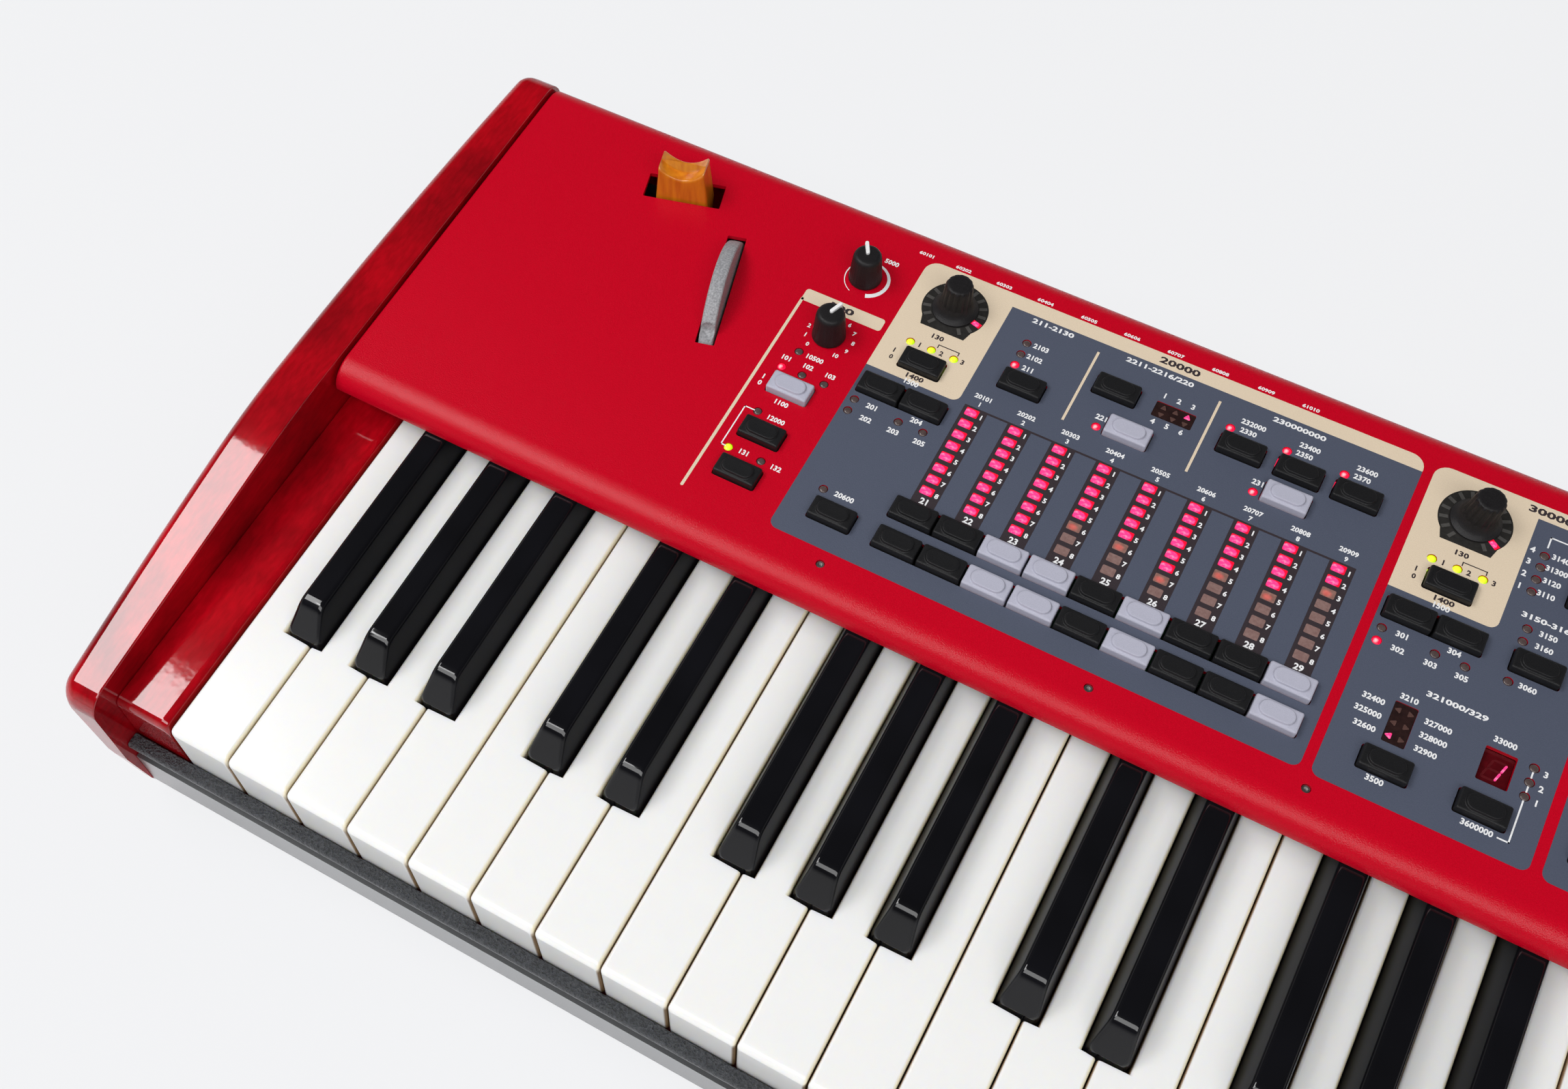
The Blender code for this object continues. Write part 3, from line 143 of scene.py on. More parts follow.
def turned(outline, degrees):
    """Rotate a flat outline about the origin: (x, y) times the matrix of cosine and sine."""
    c, s = math.cos(math.radians(degrees)), math.sin(math.radians(degrees))
    return outline @ np.array([[c, s], [-s, c]])


print("a rounded square has", len(rounded(1, 1, 0.1)), "points")


# %% Bodies
def loft(rings, close=True):
    """Quads between ring i and ring i+1, point j and point j+1; both ends are closed by one face each."""
    rings = np.asarray(rings, float)
    n, m = rings.shape[:2]
    i, j = np.meshgrid(np.arange(n - 1), np.arange(m), indexing="ij")
    k = (j + 1) % m
    faces = np.stack([i * m + j, i * m + k, (i + 1) * m + k, (i + 1) * m + j], -1).reshape(-1, 4).tolist()
    if close:
        faces += [list(range(m))[::-1], list(range((n - 1) * m, n * m))]
    return rings.reshape(-1, 3), faces


def gather(bodies):
    """One body from many; each body's indices move up by the points before it."""
    points, faces, start = [], [], 0
    for body_points, body_faces in bodies:
        points.append(body_points)
        faces += [[index + start for index in face] for face in body_faces]
        start += len(body_points)
    return np.concatenate(points), faces


def in_space(outline, axis, at):
    """A flat outline set in space: the coordinate that it lacks (0 x, 1 y, 2 z) is the same all round."""
    return np.insert(np.asarray(outline, float), axis, at, axis=1)


def rise(stages):
    """Body through (outline, height) stages."""
    return loft([in_space(outline, 2, z) for outline, z in stages])


def slab(outline, low, high):
    """Flat plate: the outline at two heights, joined."""
    return rise([(outline, low), (outline, high)])


def bar(x0, x1, y0, y1, low, high):
    """Box between two corners, as a plate."""
    return slab([(x0, y0), (x1, y0), (x1, y1), (x0, y1)], low, high)


def rods(places, radius, low, high, sides=16):
    """An upright round rod for each place, as a post or as a cutter."""
    return [slab(circle(x, y, radius, sides), low, high) for x, y in places]


print("two boxes have", len(gather([bar(0, 1, 0, 1, 0, 1)] * 2)[1]), "faces")


# %% Pieces
def new_mesh(name, body):
    """Mesh of a body in world metres, every face turned so that its normal points outwards."""
    mesh, work = bpy.data.meshes.new(name), bmesh.new()
    mesh.from_pydata(world(body[0]).tolist(), [], body[1])
    work.from_mesh(mesh)
    bmesh.ops.recalc_face_normals(work, faces=work.faces)
    work.to_mesh(mesh)
    work.free()
    return mesh


def even_normals(made):
    """Weigh each corner's normal by the area of its faces, so that flats stay flat beside small rounds."""
    setting(made.modifiers.new("even normals", "WEIGHTED_NORMAL"), keep_sharp=True, weight=100)


def piece(name, body, look, rides="case", angle=35.0, replaces=()):
    """A piece on the body that it rides on, smooth where its faces meet under the angle."""
    mesh = new_mesh(name, body)
    made = show(name, mesh)
    mesh.shade_smooth()
    mesh.set_sharp_from_angle(angle=math.radians(angle))
    mesh.materials.append(look)
    even_normals(made)
    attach(made, rides)
    if replaces:
        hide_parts(*replaces)
    return made


def dress(node, part, body, look, rides=None, angle=35.0):
    """The piece that takes a CAD node's place, on the node's own body unless another one is named."""
    return piece(f"{node}_{part}", body, look, rides or node, angle, [node])


# %% [markdown]
# ## Finishes
# A finish is colour, gloss and a little unevenness at the right size. The unevenness is shared by nearly all
# of them, so it is one node group: it mixes two colours by a noise and puts out the same noise as a height.
# Wiring nodes by hand is wordy, so `add` makes a node, sets it, feeds it and gives back one output.

# %% Nodes
def feed(node, inputs):
    """Give each input its value, or a link where the value is another node's output."""
    for name, given in inputs.items():
        if isinstance(given, bpy.types.NodeSocket):
            node.id_data.links.new(given, node.inputs[name])
        else:
            node.inputs[name].default_value = given


def add(tree, kind, out, inputs, **values):
    """New shader node with its properties set and its inputs fed; gives the output called out."""
    node = setting(tree.nodes.new("ShaderNode" + kind), **values)
    feed(node, inputs)
    return node.outputs[out]


def ramp(tree, value, start, end, low=0.0, high=1.0, kind="SMOOTHSTEP"):
    """The value mapped so that start gives low and end gives high."""
    return add(tree, "MapRange", "Result", {"Value": value, "From Min": start, "From Max": end,
                                            "To Min": low, "To Max": high}, interpolation_type=kind)


def blend(tree, factor, first, second, kind="MIX"):
    """Colour: first where the factor is 0, second (mixed or multiplied) where it is 1."""
    return add(tree, "Mix", "Result", {"Factor": factor, "A": first, "B": second}, data_type="RGBA",
               blend_type=kind)


def new_group(name, inputs, outputs):
    """Node group with sockets by kind; gives the tree, what comes in, and the node that takes the results."""
    tree = bpy.data.node_groups.new(name, "ShaderNodeTree")
    for side, sockets in (("INPUT", inputs), ("OUTPUT", outputs)):
        for kind, names in sockets.items():
            for each in names.split():
                tree.interface.new_socket(each, in_out=side, socket_type="NodeSocket" + kind)
    return tree, tree.nodes.new("NodeGroupInput").outputs, tree.nodes.new("NodeGroupOutput")


# %% Shared grain
def make_grain_group():
    """Dark turns to Light by 0.5 + Contrast x (noise - 0.5); Height is the noise itself, for a bump."""
    tree, given, out = new_group("grain", {"Vector": "Vector", "Float": "Scale Detail Contrast",
                                           "Color": "Dark Light"}, {"Color": "Colour", "Float": "Height"})
    noise = add(tree, "TexNoise", "Fac", {name: given[name] for name in ("Vector", "Scale", "Detail")})
    centred = add(tree, "Math", 0, {0: noise, 1: 0.5}, operation="SUBTRACT")
    share = add(tree, "Math", 0, {0: centred, 1: given["Contrast"], 2: 0.5}, operation="MULTIPLY_ADD",
                use_clamp=True)
    feed(out, {"Colour": blend(tree, share, given["Dark"], given["Light"]), "Height": noise})
    return tree


GRAIN = make_grain_group()


def grain(tree, stretch, scale, detail, contrast, dark, light):
    """Outputs of the shared grain on Object coordinates, which a Mapping stretches first."""
    place = tree.nodes.get("Texture Coordinate") or tree.nodes.new("ShaderNodeTexCoord")
    stretched = add(tree, "Mapping", "Vector", {"Vector": place.outputs["Object"], "Scale": stretch})
    return add(tree, "Group", "Colour", {"Vector": stretched, "Scale": scale, "Detail": detail,
                                         "Contrast": contrast, "Dark": (*dark, 1), "Light": (*light, 1)},
               node_tree=GRAIN).node.outputs


def finish(name, dark, light=None, rough=0.5, metallic=0.0, scale=900.0, detail=2.0, contrast=2.0, bump=0.1,
           depth=0.0002, coat=0.0, coat_rough=0.05, coat_ior=1.5, stretch=(1, 1, 1), specular=0.5):
    """Principled material whose colour and bump come from the shared grain."""
    made = setting(bpy.data.materials.new(name), use_nodes=True)
    tree = made.node_tree
    seen = grain(tree, stretch, scale, detail, contrast, dark, light or dark)
    inputs = {"Base Color": seen["Colour"], "Roughness": rough, "Metallic": metallic, "Coat Weight": coat,
              "Coat Roughness": coat_rough, "Coat IOR": coat_ior, "Specular IOR Level": specular}
    if bump:
        inputs["Normal"] = add(tree, "Bump", "Normal", {"Height": seen["Height"], "Strength": bump,
                                                        "Distance": depth})
    feed(tree.nodes["Principled BSDF"], inputs)
    return made


print("the grain has", len(GRAIN.nodes), "nodes")

# %% Plain finishes
panel_red = finish("panel_red", (0.48, 0.0004, 0.011), (0.57, 0.0008, 0.016), rough=0.24, scale=2600,
                   bump=0.5, specular=0.22)
rail_black = finish("rail_black", (0.016, 0.018, 0.022), (0.070, 0.076, 0.086), rough=0.34, scale=1100,
                    detail=3, bump=1.0, depth=0.0030, specular=1.0)
pan_black = finish("pan_black", (0.050, 0.052, 0.055), (0.062, 0.064, 0.068), rough=0.45, scale=2200,
                   bump=0.2, coat=1.0, coat_rough=0.25, coat_ior=2.2)
cap_black = finish("cap_black", (0.007, 0.007, 0.008), (0.013, 0.013, 0.014), rough=0.45, scale=3000,
                   bump=0.25, specular=0.25)
cap_grey = finish("cap_grey", (0.40, 0.40, 0.49), (0.46, 0.46, 0.55), rough=0.55, scale=3000, bump=0.25)
rubber_black = finish("rubber_black", (0.015, 0.015, 0.015), (0.03, 0.03, 0.03), rough=0.8, scale=1500,
                      bump=0.5)
zinc = finish("zinc", (0.50, 0.51, 0.52), (0.62, 0.62, 0.63), rough=0.35, metallic=1.0, scale=300)
board_green = finish("board_green", (0.008, 0.08, 0.03), (0.012, 0.12, 0.045), rough=0.4, scale=400)
felt_red = finish("felt_red", (0.18, 0.01, 0.01), (0.30, 0.03, 0.03), rough=0.95, scale=4000, bump=0.8,
                  depth=0.0005)
print(len(bpy.data.materials), "plain finishes")

# %% [markdown]
# ## Key plastic
# White plastic lets light in, so the gaps between the keys look cream near the top and brown deep down.
# Here this light and shade are painted: the side that a face looks to and its height choose between a
# painted cream glow and painted brown shade, and a little subsurface softens them. The black keys are
# polished, but their flanks mustn't mirror the white ones.

# %% Key plastic
# Painted light and shade of the key flanks: brown shade deep in a gap, cream glow high up, brown shade on the
# left.
PAINTED_GAP_SHADE, PAINTED_FLANK_GLOW, PAINTED_LEFT_SHADE = (0.22, 0.14, 0.07, 1), (0.95, 0.86, 0.64, 1), (0.26, 0.16, 0.09, 1)


def axis_of(tree, source, axis):
    """One axis of the finish's Object coordinates or of its Normal."""
    return add(tree, "SeparateXYZ", axis, {0: tree.nodes["Texture Coordinate"].outputs[source]})


def key_plastic():
    """White top; painted cream glow on the right edge and high up, painted brown shade at left and deep down.
    """
    made = finish("key_white", (0.86, 0.86, 0.85), (0.88, 0.88, 0.87), rough=0.20, scale=60, contrast=1.0,
                  bump=0)
    tree = made.node_tree
    # Painted: brown shade deep in the gap turns to a cream glow higher up; left-facing flanks get brown
    # shade.
    flank = blend(tree, ramp(tree, axis_of(tree, "Object", "Z"), 0.0600, 0.0650), PAINTED_GAP_SHADE, PAINTED_FLANK_GLOW)
    sideways = axis_of(tree, "Normal", "X")
    right = blend(tree, ramp(tree, sideways, 0.10, 0.70), tree.nodes["Group"].outputs["Colour"], flank)
    both = blend(tree, ramp(tree, sideways, -0.60, -0.95), right, PAINTED_LEFT_SHADE)
    feed(tree.nodes["Principled BSDF"], {"Base Color": both, "Subsurface Weight": 0.4,
                                         "Subsurface Scale": 0.003, "Subsurface Radius": (1.0, 0.85, 0.55)})
    return made


def black_plastic():
    """Polished on top and at the front; the coat fades on the flanks, which stay dark."""
    made = finish("key_black", (0.004, 0.004, 0.005), (0.006, 0.006, 0.008), rough=0.30, scale=40, bump=0,
                  specular=0.03)
    tree = made.node_tree
    flank = add(tree, "Math", 0, {0: axis_of(tree, "Normal", "X")}, operation="ABSOLUTE")
    feed(tree.nodes["Principled BSDF"], {"Coat Weight": ramp(tree, flank, 0.35, 0.95, 1.0, 0.07)})
    return made


key_white, key_black = key_plastic(), black_plastic()
print("key plastics use", len(key_white.node_tree.nodes), "and", len(key_black.node_tree.nodes), "nodes")

# %% [markdown]
# ## Red-stained lacquered wood
# The cheeks are dyed so deeply that the figure of the wood shows only as clouds and short streaks under a
# thick clear lacquer. Two grains do it: wide clouds, and fine streaks drawn out along the cheek. The clear
# coat does the shine, and slow waves in it give a reflection its soft, uneven edge.

# %% Lacquered wood
def lacquered_wood():
    """Clouds multiplied by streaks that are stretched along Y, under a coat with waves of its own."""
    made = finish("lacquered_wood", (0.16, 0.0003, 0.0028), (0.53, 0.0006, 0.0080), scale=26, detail=3,
                  contrast=1.9, bump=0, coat=1.0, coat_rough=0.06, coat_ior=1.7, stretch=(1.6, 1.0, 1.6),
                  specular=0.03)
    tree = made.node_tree
    clouds, place = tree.nodes["Group"].outputs["Colour"], tree.nodes["Texture Coordinate"].outputs["Object"]
    streaks = grain(tree, (1.0, 0.28, 1.0), 700, 3, 3.0, (0.84, 0.75, 0.75), (1.10, 1.15, 1.15))["Colour"]
    waves = add(tree, "TexNoise", "Fac", {"Vector": place, "Scale": 160, "Detail": 2})
    feed(tree.nodes["Principled BSDF"], {
        "Base Color": blend(tree, 1.0, clouds, streaks, "MULTIPLY"),
        "Coat Normal": add(tree, "Bump", "Normal", {"Height": waves, "Strength": 0.3, "Distance": 0.0001})})
    return made


wood_red = lacquered_wood()
print("lacquered wood uses", len(wood_red.node_tree.nodes), "nodes")

# %% [markdown]
# ## White keys
# A waterfall key has a round front edge and no lip. Seen from above, its outline narrows beside each black
# key. The key is lofted from the front to the hinge: every ring is the same section with rounded top edges,
# and only its width, height and corner rounding change.

# %% White keys
KEY_GAP = 0.5
NOTCH, NOTCH_WIDTH = 48.2, 14.7         # where a white key narrows, and the room left for a black key
BODY, FRONT_DROP = 12.0, 28.0           # depth of a key, and of its front face
FRONT_ROUND, FRONT_CORNER, EDGE = 2.6, 1.3, 1.35
PIVOT, TAIL_RADIUS = 156.0, 6.0
TAIL = [(PIVOT + TAIL_RADIUS * math.sin(a), TAIL_RADIUS * math.cos(a)) for a in np.radians([45, 80])]
BLACK_SHIFTS = (-3.2, 0.0, 3.2, None, -2.4, 2.4, None)


def has_black(index):
    """A black key follows this white key unless the pattern says None."""
    return 0 <= index < WHITES - 1 and BLACK_SHIFTS[index % 7] is not None


def black_centre(index):
    """Middle of the black key between white key index and the next."""
    return (index + 1) * KEY_PITCH + BLACK_SHIFTS[index % 7]


def key_section(x0, x1, y, low, high, edge=EDGE):
    """Fourteen points round a key's section: flat bottom, straight sides, quarter-round top edges."""
    right = arc(x1 - edge, high - edge, edge, 0, 90, 5)
    left = arc(x0 + edge, high - edge, edge, 90, 180, 5)
    return in_space(np.concatenate([[(x0, low), (x1, low)], right, left]), 1, y)


def white_key(index):
    """Rings from the waterfall front past the notches to the round tail."""
    left, right = index * KEY_PITCH + KEY_GAP / 2, (index + 1) * KEY_PITCH - KEY_GAP / 2
    tail_left = black_centre(index - 1) + NOTCH_WIDTH / 2 if has_black(index - 1) else left
    tail_right = black_centre(index) - NOTCH_WIDTH / 2 if has_black(index) else right
    rings = []
    for a in np.radians(np.linspace(0, 90, 8)):
        y, top = FRONT_ROUND * (1 - math.cos(a)), -FRONT_ROUND * (1 - math.sin(a))
        inset = FRONT_CORNER - math.sqrt(max(0.0, FRONT_CORNER ** 2 - max(0.0, FRONT_CORNER - y) ** 2))
        rings.append(key_section(left + inset, right - inset, y, -FRONT_DROP, top))
    eased_left, eased_right = left + 0.15 * (tail_left > left), right - 0.15 * (tail_right < right)
    for x0, x1, y, low in ((left, right, 4.0, -FRONT_DROP), (left, right, 5.0, -BODY),
                           (left, right, NOTCH - 0.4, -BODY), (eased_left, eased_right, NOTCH, -BODY),
                           (tail_left, tail_right, NOTCH + 0.3, -BODY),
                           (tail_left, tail_right, PIVOT, -BODY)):
        rings.append(key_section(x0, x1, y, low, 0.0))
    for y, half in TAIL:
        rings.append(key_section(tail_left, tail_right, y, -TAIL_RADIUS - half, -TAIL_RADIUS + half,
                                 min(EDGE, half / 2)))
    return loft(rings)


def dress_keys(colour, key, moving, fixed, look, low, high):
    """Each moving key takes its node's place; the others and the bar that they hinge on are one piece."""
    for number, index in enumerate(moving, 1):
        dress(f"{colour}_key_{number:02d}", "top", key(index), look)
    hinge_bar = bar(0.0, KEYS_WIDE, PIVOT + TAIL_RADIUS + 0.4, lay("white_key_bar")[1][1], low, high)
    piece(f"upper_{colour}_keys", gather([key(index) for index in fixed] + [hinge_bar]), look,
          replaces=[f"{colour}_key_bar"])
    print(len(moving), "moving and", len(fixed), "fixed", colour, "keys")


dress_keys("white", white_key, range(MOVING_WHITES), range(MOVING_WHITES, WHITES), key_white, -BODY, -6.15)

# %% [markdown]
# ## Black keys
# A black key is a long rounded wedge. Its section is a trapezium with round upper edges. At the front the
# height climbs a slope and turns over in an arc, and that arc is what catches the light.

# %% Black keys
BLACK_RISE = 12.0
HALF_FOOT, TAPER = 6.85, 2.25           # half the width at the white tops, and what the top is narrower by
SLOPE_RUN, SLOPE_FOOT = 8.8, 1.4        # where the front slope would meet the top, and where it starts
TURN = 6.0                              # radius between the slope and the top
CORNER_ROUND = 2.2                      # of the front corners, seen from above
BLACK_END = 141.5                       # under the panel the key gets low here


def black_height(y):
    """Slope from its foot to the top, with a round turn between the two lines."""
    slope = (BLACK_RISE - SLOPE_FOOT) / SLOPE_RUN
    tilt = math.atan(slope)
    reach = TURN * math.tan(tilt / 2)
    start, end = SLOPE_RUN - reach * math.cos(tilt), SLOPE_RUN + reach
    if y <= start:
        return SLOPE_FOOT + slope * y
    if y >= end:
        return BLACK_RISE
    return BLACK_RISE - TURN + math.sqrt(TURN ** 2 - (end - y) ** 2)


def black_section(centre, y, low, high, edge=1.8, inset=0.0):
    """Trapezium 13.7 mm wide at the white tops and 9.2 mm wide at 12 mm, upper edges quarter-round."""
    foot = HALF_FOOT - inset
    half = foot - TAPER * (max(0.0, high) / BLACK_RISE)
    edge = min(edge, 0.45 * (high - low))
    knee = min(0.0, high - edge)
    return in_space(np.concatenate([[(centre - foot, low), (centre + foot, low), (centre + foot, knee)],
                                    arc(centre + half - edge, high - edge, edge, 12, 90, 5),
                                    arc(centre - half + edge, high - edge, edge, 90, 168, 5),
                                    [(centre - foot, knee)]]), 1, y)


def black_key(index):
    """Rings from the sloping front over the top to the low tail under the panel."""
    centre, start = black_centre(index), NOTCH + 0.9
    around = CORNER_ROUND * (1 - np.cos(np.radians(np.linspace(0, 90, 7))))
    rings = []
    for y in np.concatenate([around, np.linspace(3.2, 6.2, 3), np.linspace(6.9, 11.8, 13), [20, 50]]):
        inset = CORNER_ROUND - math.sqrt(CORNER_ROUND ** 2 - max(0.0, CORNER_ROUND - y) ** 2)
        edge = 1.2 + 0.6 * min(1, y / 6)
        rings.append(black_section(centre, start + y, -BODY, black_height(y), edge, inset))
    for y, top in ((BLACK_END, BLACK_RISE), (BLACK_END + 1.0, 0.0), (PIVOT, 0.0)):
        rings.append(black_section(centre, y, -BODY, top))
    rings += [black_section(centre, y, -TAIL_RADIUS - half, -TAIL_RADIUS + half) for y, half in TAIL]
    return loft(rings)


blacks = [index for index in range(WHITES) if has_black(index)]
moving_blacks = [index for index in blacks if index < MOVING_WHITES - 1]
dress_keys("black", black_key, moving_blacks, blacks[len(moving_blacks):], key_black, -5.85, 0.0)

# %% [markdown]
# ## Cheeks and key blocks
# A cheek is a board with a bowed outer face that leans in towards the floor. Its top line climbs from the
# keys to the panel and levels off in a long curve. Each ring is a section at one y: straight inner face,
# flat top, round outer edge and the leaning outer face.

# %% Cheeks
SIDES = (("left", -1), ("right", 1))
CHEEK_FRONT, CHEEK_REAR, CHEEK_INNER = -9.0, 291.5, 22.6
CHEEK_THICK, FOOT_THICK, BOW = 14.5, 5.5, 4.5
END_ROUND, TOP_ROUND, INNER_ROUND = 8.0, 4.5, 0.6
UNDERSIDE, CHIN, CHIN_RUN = -58.0, 0.45, 3.3    # the lower front corner loses this share over this run
TOP_FRONT, TOP_REAR, KNEE, JOIN = 10.5, 22.5, 110.0, 36.0


def cheek_top(y):
    """Line from the front's height to the rear's at the knee, then level; a parabola joins the two."""
    slope = (TOP_REAR - TOP_FRONT) / KNEE
    rest = np.clip(KNEE + JOIN / 2 - y, 0, JOIN)
    curve = TOP_REAR - slope * rest ** 2 / (2 * JOIN)
    return float(np.where(y <= KNEE - JOIN / 2, TOP_FRONT + slope * y, curve))


def to_side(outline, side):
    """An outline drawn outwards from the last key, moved to the right end or mirrored to the left one."""
    return np.column_stack([KEYS_WIDE + outline[:, 0] if side > 0 else -outline[:, 0], outline[:, 1]])


def cheek_rings(side):
    """Sections from front to rear; side is -1 for the left cheek and 1 for the right one."""
    turn = END_ROUND * (1 - np.cos(np.radians(np.linspace(0, 90, 10))))
    middle, reach = (CHEEK_FRONT + CHEEK_REAR) / 2, (CHEEK_REAR - CHEEK_FRONT) / 2
    rings = []
    for y in np.concatenate([CHEEK_FRONT + turn, np.linspace(8, 85, 8), np.linspace(90, 130, 14),
                             np.linspace(145, 275, 8), CHEEK_REAR - turn[::-1]]):
        end = min(y - CHEEK_FRONT, CHEEK_REAR - y, END_ROUND)
        fall = END_ROUND - math.sqrt(max(0.0, END_ROUND ** 2 - (END_ROUND - end) ** 2))
        top = cheek_top(y) - fall
        low = UNDERSIDE + max(0.0, -UNDERSIDE * CHIN * (CHIN_RUN - (y - CHEEK_FRONT)) / CHIN_RUN)
        out = CHEEK_THICK + BOW * (1 - ((y - middle) / reach) ** 2) - 0.5 * fall
        foot = FOOT_THICK + (out - FOOT_THICK) * (low - UNDERSIDE) / -UNDERSIDE
        outline = np.concatenate([[(0, low)], arc(INNER_ROUND, top - INNER_ROUND, INNER_ROUND, 180, 90, 3),
                                  arc(out - TOP_ROUND, top - TOP_ROUND, TOP_ROUND, 90, 12, 8),
                                  [(foot, low + 2), (foot - 2, low)]])
        rings.append(in_space(to_side(outline + (CHEEK_INNER, 0), side), 1, y))
    return rings


for name, side in SIDES:
    dress(f"{name}_end_cheek", "board", loft(cheek_rings(side)), wood_red, "case", 40)
print("cheek top at the knee", round(cheek_top(KNEE), 2))

# %% Key blocks
BLOCK_INNER, BLOCK_OUTER, BLOCK_ROUND = 0.9, 22.3, 3.5


def key_block(node, side):
    """Block between the outer key and the cheek: rounded front and inner edges."""
    low, high = lay(node)
    rings = []
    for a in np.radians(np.linspace(0, 90, 8)):
        y, top = BLOCK_ROUND * (1 - math.cos(a)), -BLOCK_ROUND * (1 - math.sin(a))
        edge = arc(BLOCK_INNER + BLOCK_ROUND, top - BLOCK_ROUND, BLOCK_ROUND, 180, 90, 7)
        outline = np.concatenate([[(BLOCK_INNER, low[2])], edge, [(BLOCK_OUTER, top), (BLOCK_OUTER, low[2])]])
        rings.append(in_space(to_side(outline, side), 1, y))
    last = rings[-1].copy()
    last[:, 1] = high[1]
    return loft(rings + [last])


for name, side in SIDES:
    node = f"{name}_key_block"
    dress(node, "wood", key_block(node, side), wood_red, "case")

# %% [markdown]
# ## Front rail
# A long moulding in front of the keys, grained like leather. Its nose overhangs a face that is set back,
# which draws a dark line between the rail and the pan below it.

# %% Front rail
low, high = lay("front_rail")
nose, back, top, foot = low[1], high[1], high[2], low[2]
profile = np.concatenate([[(back, top - 0.5)], arc(back - 0.5, top - 0.5, 0.5, 0, 90, 3),
                          arc(nose + 1.4, top - 1.4, 1.4, 90, 180, 8),
                          [(nose, top - 2.4), (nose + 0.8, top - 3.0), (nose + 4.2, top - 3.0),
                           (nose + 4.2, foot), (back, foot)]])
moulding = loft([in_space(profile, 0, x) for x in (low[0], high[0])])
piece("front_rail_moulding", moulding, rail_black, replaces=["front_rail"])
print("rail nose at y", nose.round(2), "top", top.round(2))

# %% [markdown]
# ## Top panel
# One folded sheet: a round lip over the keys, a flat top and a rolled rear edge. The holes are cut with two
# Booleans, first those for the controls and then the small ones, because cutters that touch each other spoil
# an exact Boolean. Each cutter is a gathered mesh that is deleted afterwards.

# %% Places of the controls
BUTTON, BUTTON_HOLE, BUTTON_STEP = (15.3, 8.0), (16.0, 8.7), 17.0   # nearer than the step, holes run together
LOW_ROW, HIGH_ROW = 165.0, 177.7
DRAWBARS = [182.7 + 16.0 * i for i in range(9)]
SECTION = {"organ": 142.0, "piano": 326.1, "synth": 525.0}
PROGRAM = [391.5 + 33.375 * (i + 0.5) for i in range(4)]
EFFECTS, SYNTH_DIALS = [742.0, 790.0, 838.0, 886.0], [615.0, 649.0, 683.0]
DIALS = [(159.2, 261.8), (343.3, 261.8), (542.2, 261.8)]
KNOBS = [(125.0, 259.7), (125.0, 230.8)]
SMALL_DIALS = [(x, 252.0) for x in SYNTH_DIALS + EFFECTS]
SHAFT_HOLE = 3.5
STICK, WHEEL, TILT = (47.9, 265.3), (81.9, 231.0), 14.5
BOARD_TOP = 11.4                        # of the control board under the panel


def carried_places():
    """(x, y, colour) of the buttons that the control board carries."""
    places = [(x, 252.4, "black") for x in (267.6, 287.5, 307.0)] + [(159.2, LOW_ROW, "black")]
    colours = ("black", "black", "grey", "grey", "black", "grey", "black", "black", "grey")
    places += [(x, y, colour) for y in (HIGH_ROW, LOW_ROW) for x, colour in zip(DRAWBARS, colours)]
    around = ((0, 234.3), (-8, 218.2), (8, 218.2), (32, 218.2), (1.5, LOW_ROW), (31, LOW_ROW))
    places += [(SECTION[name] + 17.2 + x, y, "black") for name in ("piano", "synth") for x, y in around]
    places.append((384.5, 248.0, "black"))
    return places + [(x, LOW_ROW, "black") for x in PROGRAM] + [(x, LOW_ROW, "grey") for x in EFFECTS]


moving = {node: tuple(sum(lay(node))[:2] / 2) for node in frame["nodes"] if node.endswith("_button")}
carried = carried_places()
print(len(moving), "moving buttons and", len(carried), "carried ones")


# %% Holes in the panel
def control_holes(low, high):
    """Cutters: merged slots for buttons that stand side by side, round holes for shafts, two turned slots."""
    rows, outlines = {}, []
    for x, y in [place[:2] for place in carried] + list(moving.values()):
        rows.setdefault(round(y, 1), []).append(x)
    for y, row in rows.items():
        row = np.sort(row)
        for run in np.split(row, np.flatnonzero(np.diff(row) >= BUTTON_STEP) + 1):
            slot = rounded(BUTTON_HOLE[0] + run[-1] - run[0], BUTTON_HOLE[1], 0.9, 3)
            outlines.append(slot + ((run[0] + run[-1]) / 2, y))
    outlines += [circle(x, y, SHAFT_HOLE, 24) for x, y in DIALS + KNOBS + SMALL_DIALS]
    for width, depth, place in ((29.2, 11.2, STICK), (7.0, 49.6, WHEEL)):
        outlines.append(turned(rounded(width, depth, 0.4, 2), TILT) + place)
    return [slab(outline, low, high) for outline in outlines]


def cut(target, bodies):
    """Boolean difference with one gathered cutter, applied at once; the cutter is removed."""
    cutter = show("cutter", new_mesh("cutter", gather(bodies)))
    target.modifiers.clear()
    setting(target.modifiers.new("holes", "BOOLEAN"), operation="DIFFERENCE", solver="EXACT", object=cutter)
    graph = bpy.context.evaluated_depsgraph_get()
    made = bpy.data.meshes.new_from_object(target.evaluated_get(graph), depsgraph=graph)
    target.modifiers.clear()
    target.data = made
    bpy.data.objects.remove(cutter, do_unlink=True)
    made.set_sharp_from_angle(angle=math.radians(30))
    even_normals(target)


# %% The folded sheet
SHEET, ROLL, REAR_DROP = 1.6, 8.0, 35.0
PANEL_FRONT, LIP_DEPTH = 133.5, 10.0    # the round lip is a little deeper than it is high
LIP_ENDS = [(0.3, 0.8), (0.45, 0.4), (0.8, 0.12), (1.3, 0.0)]       # (distance from the end, drop)


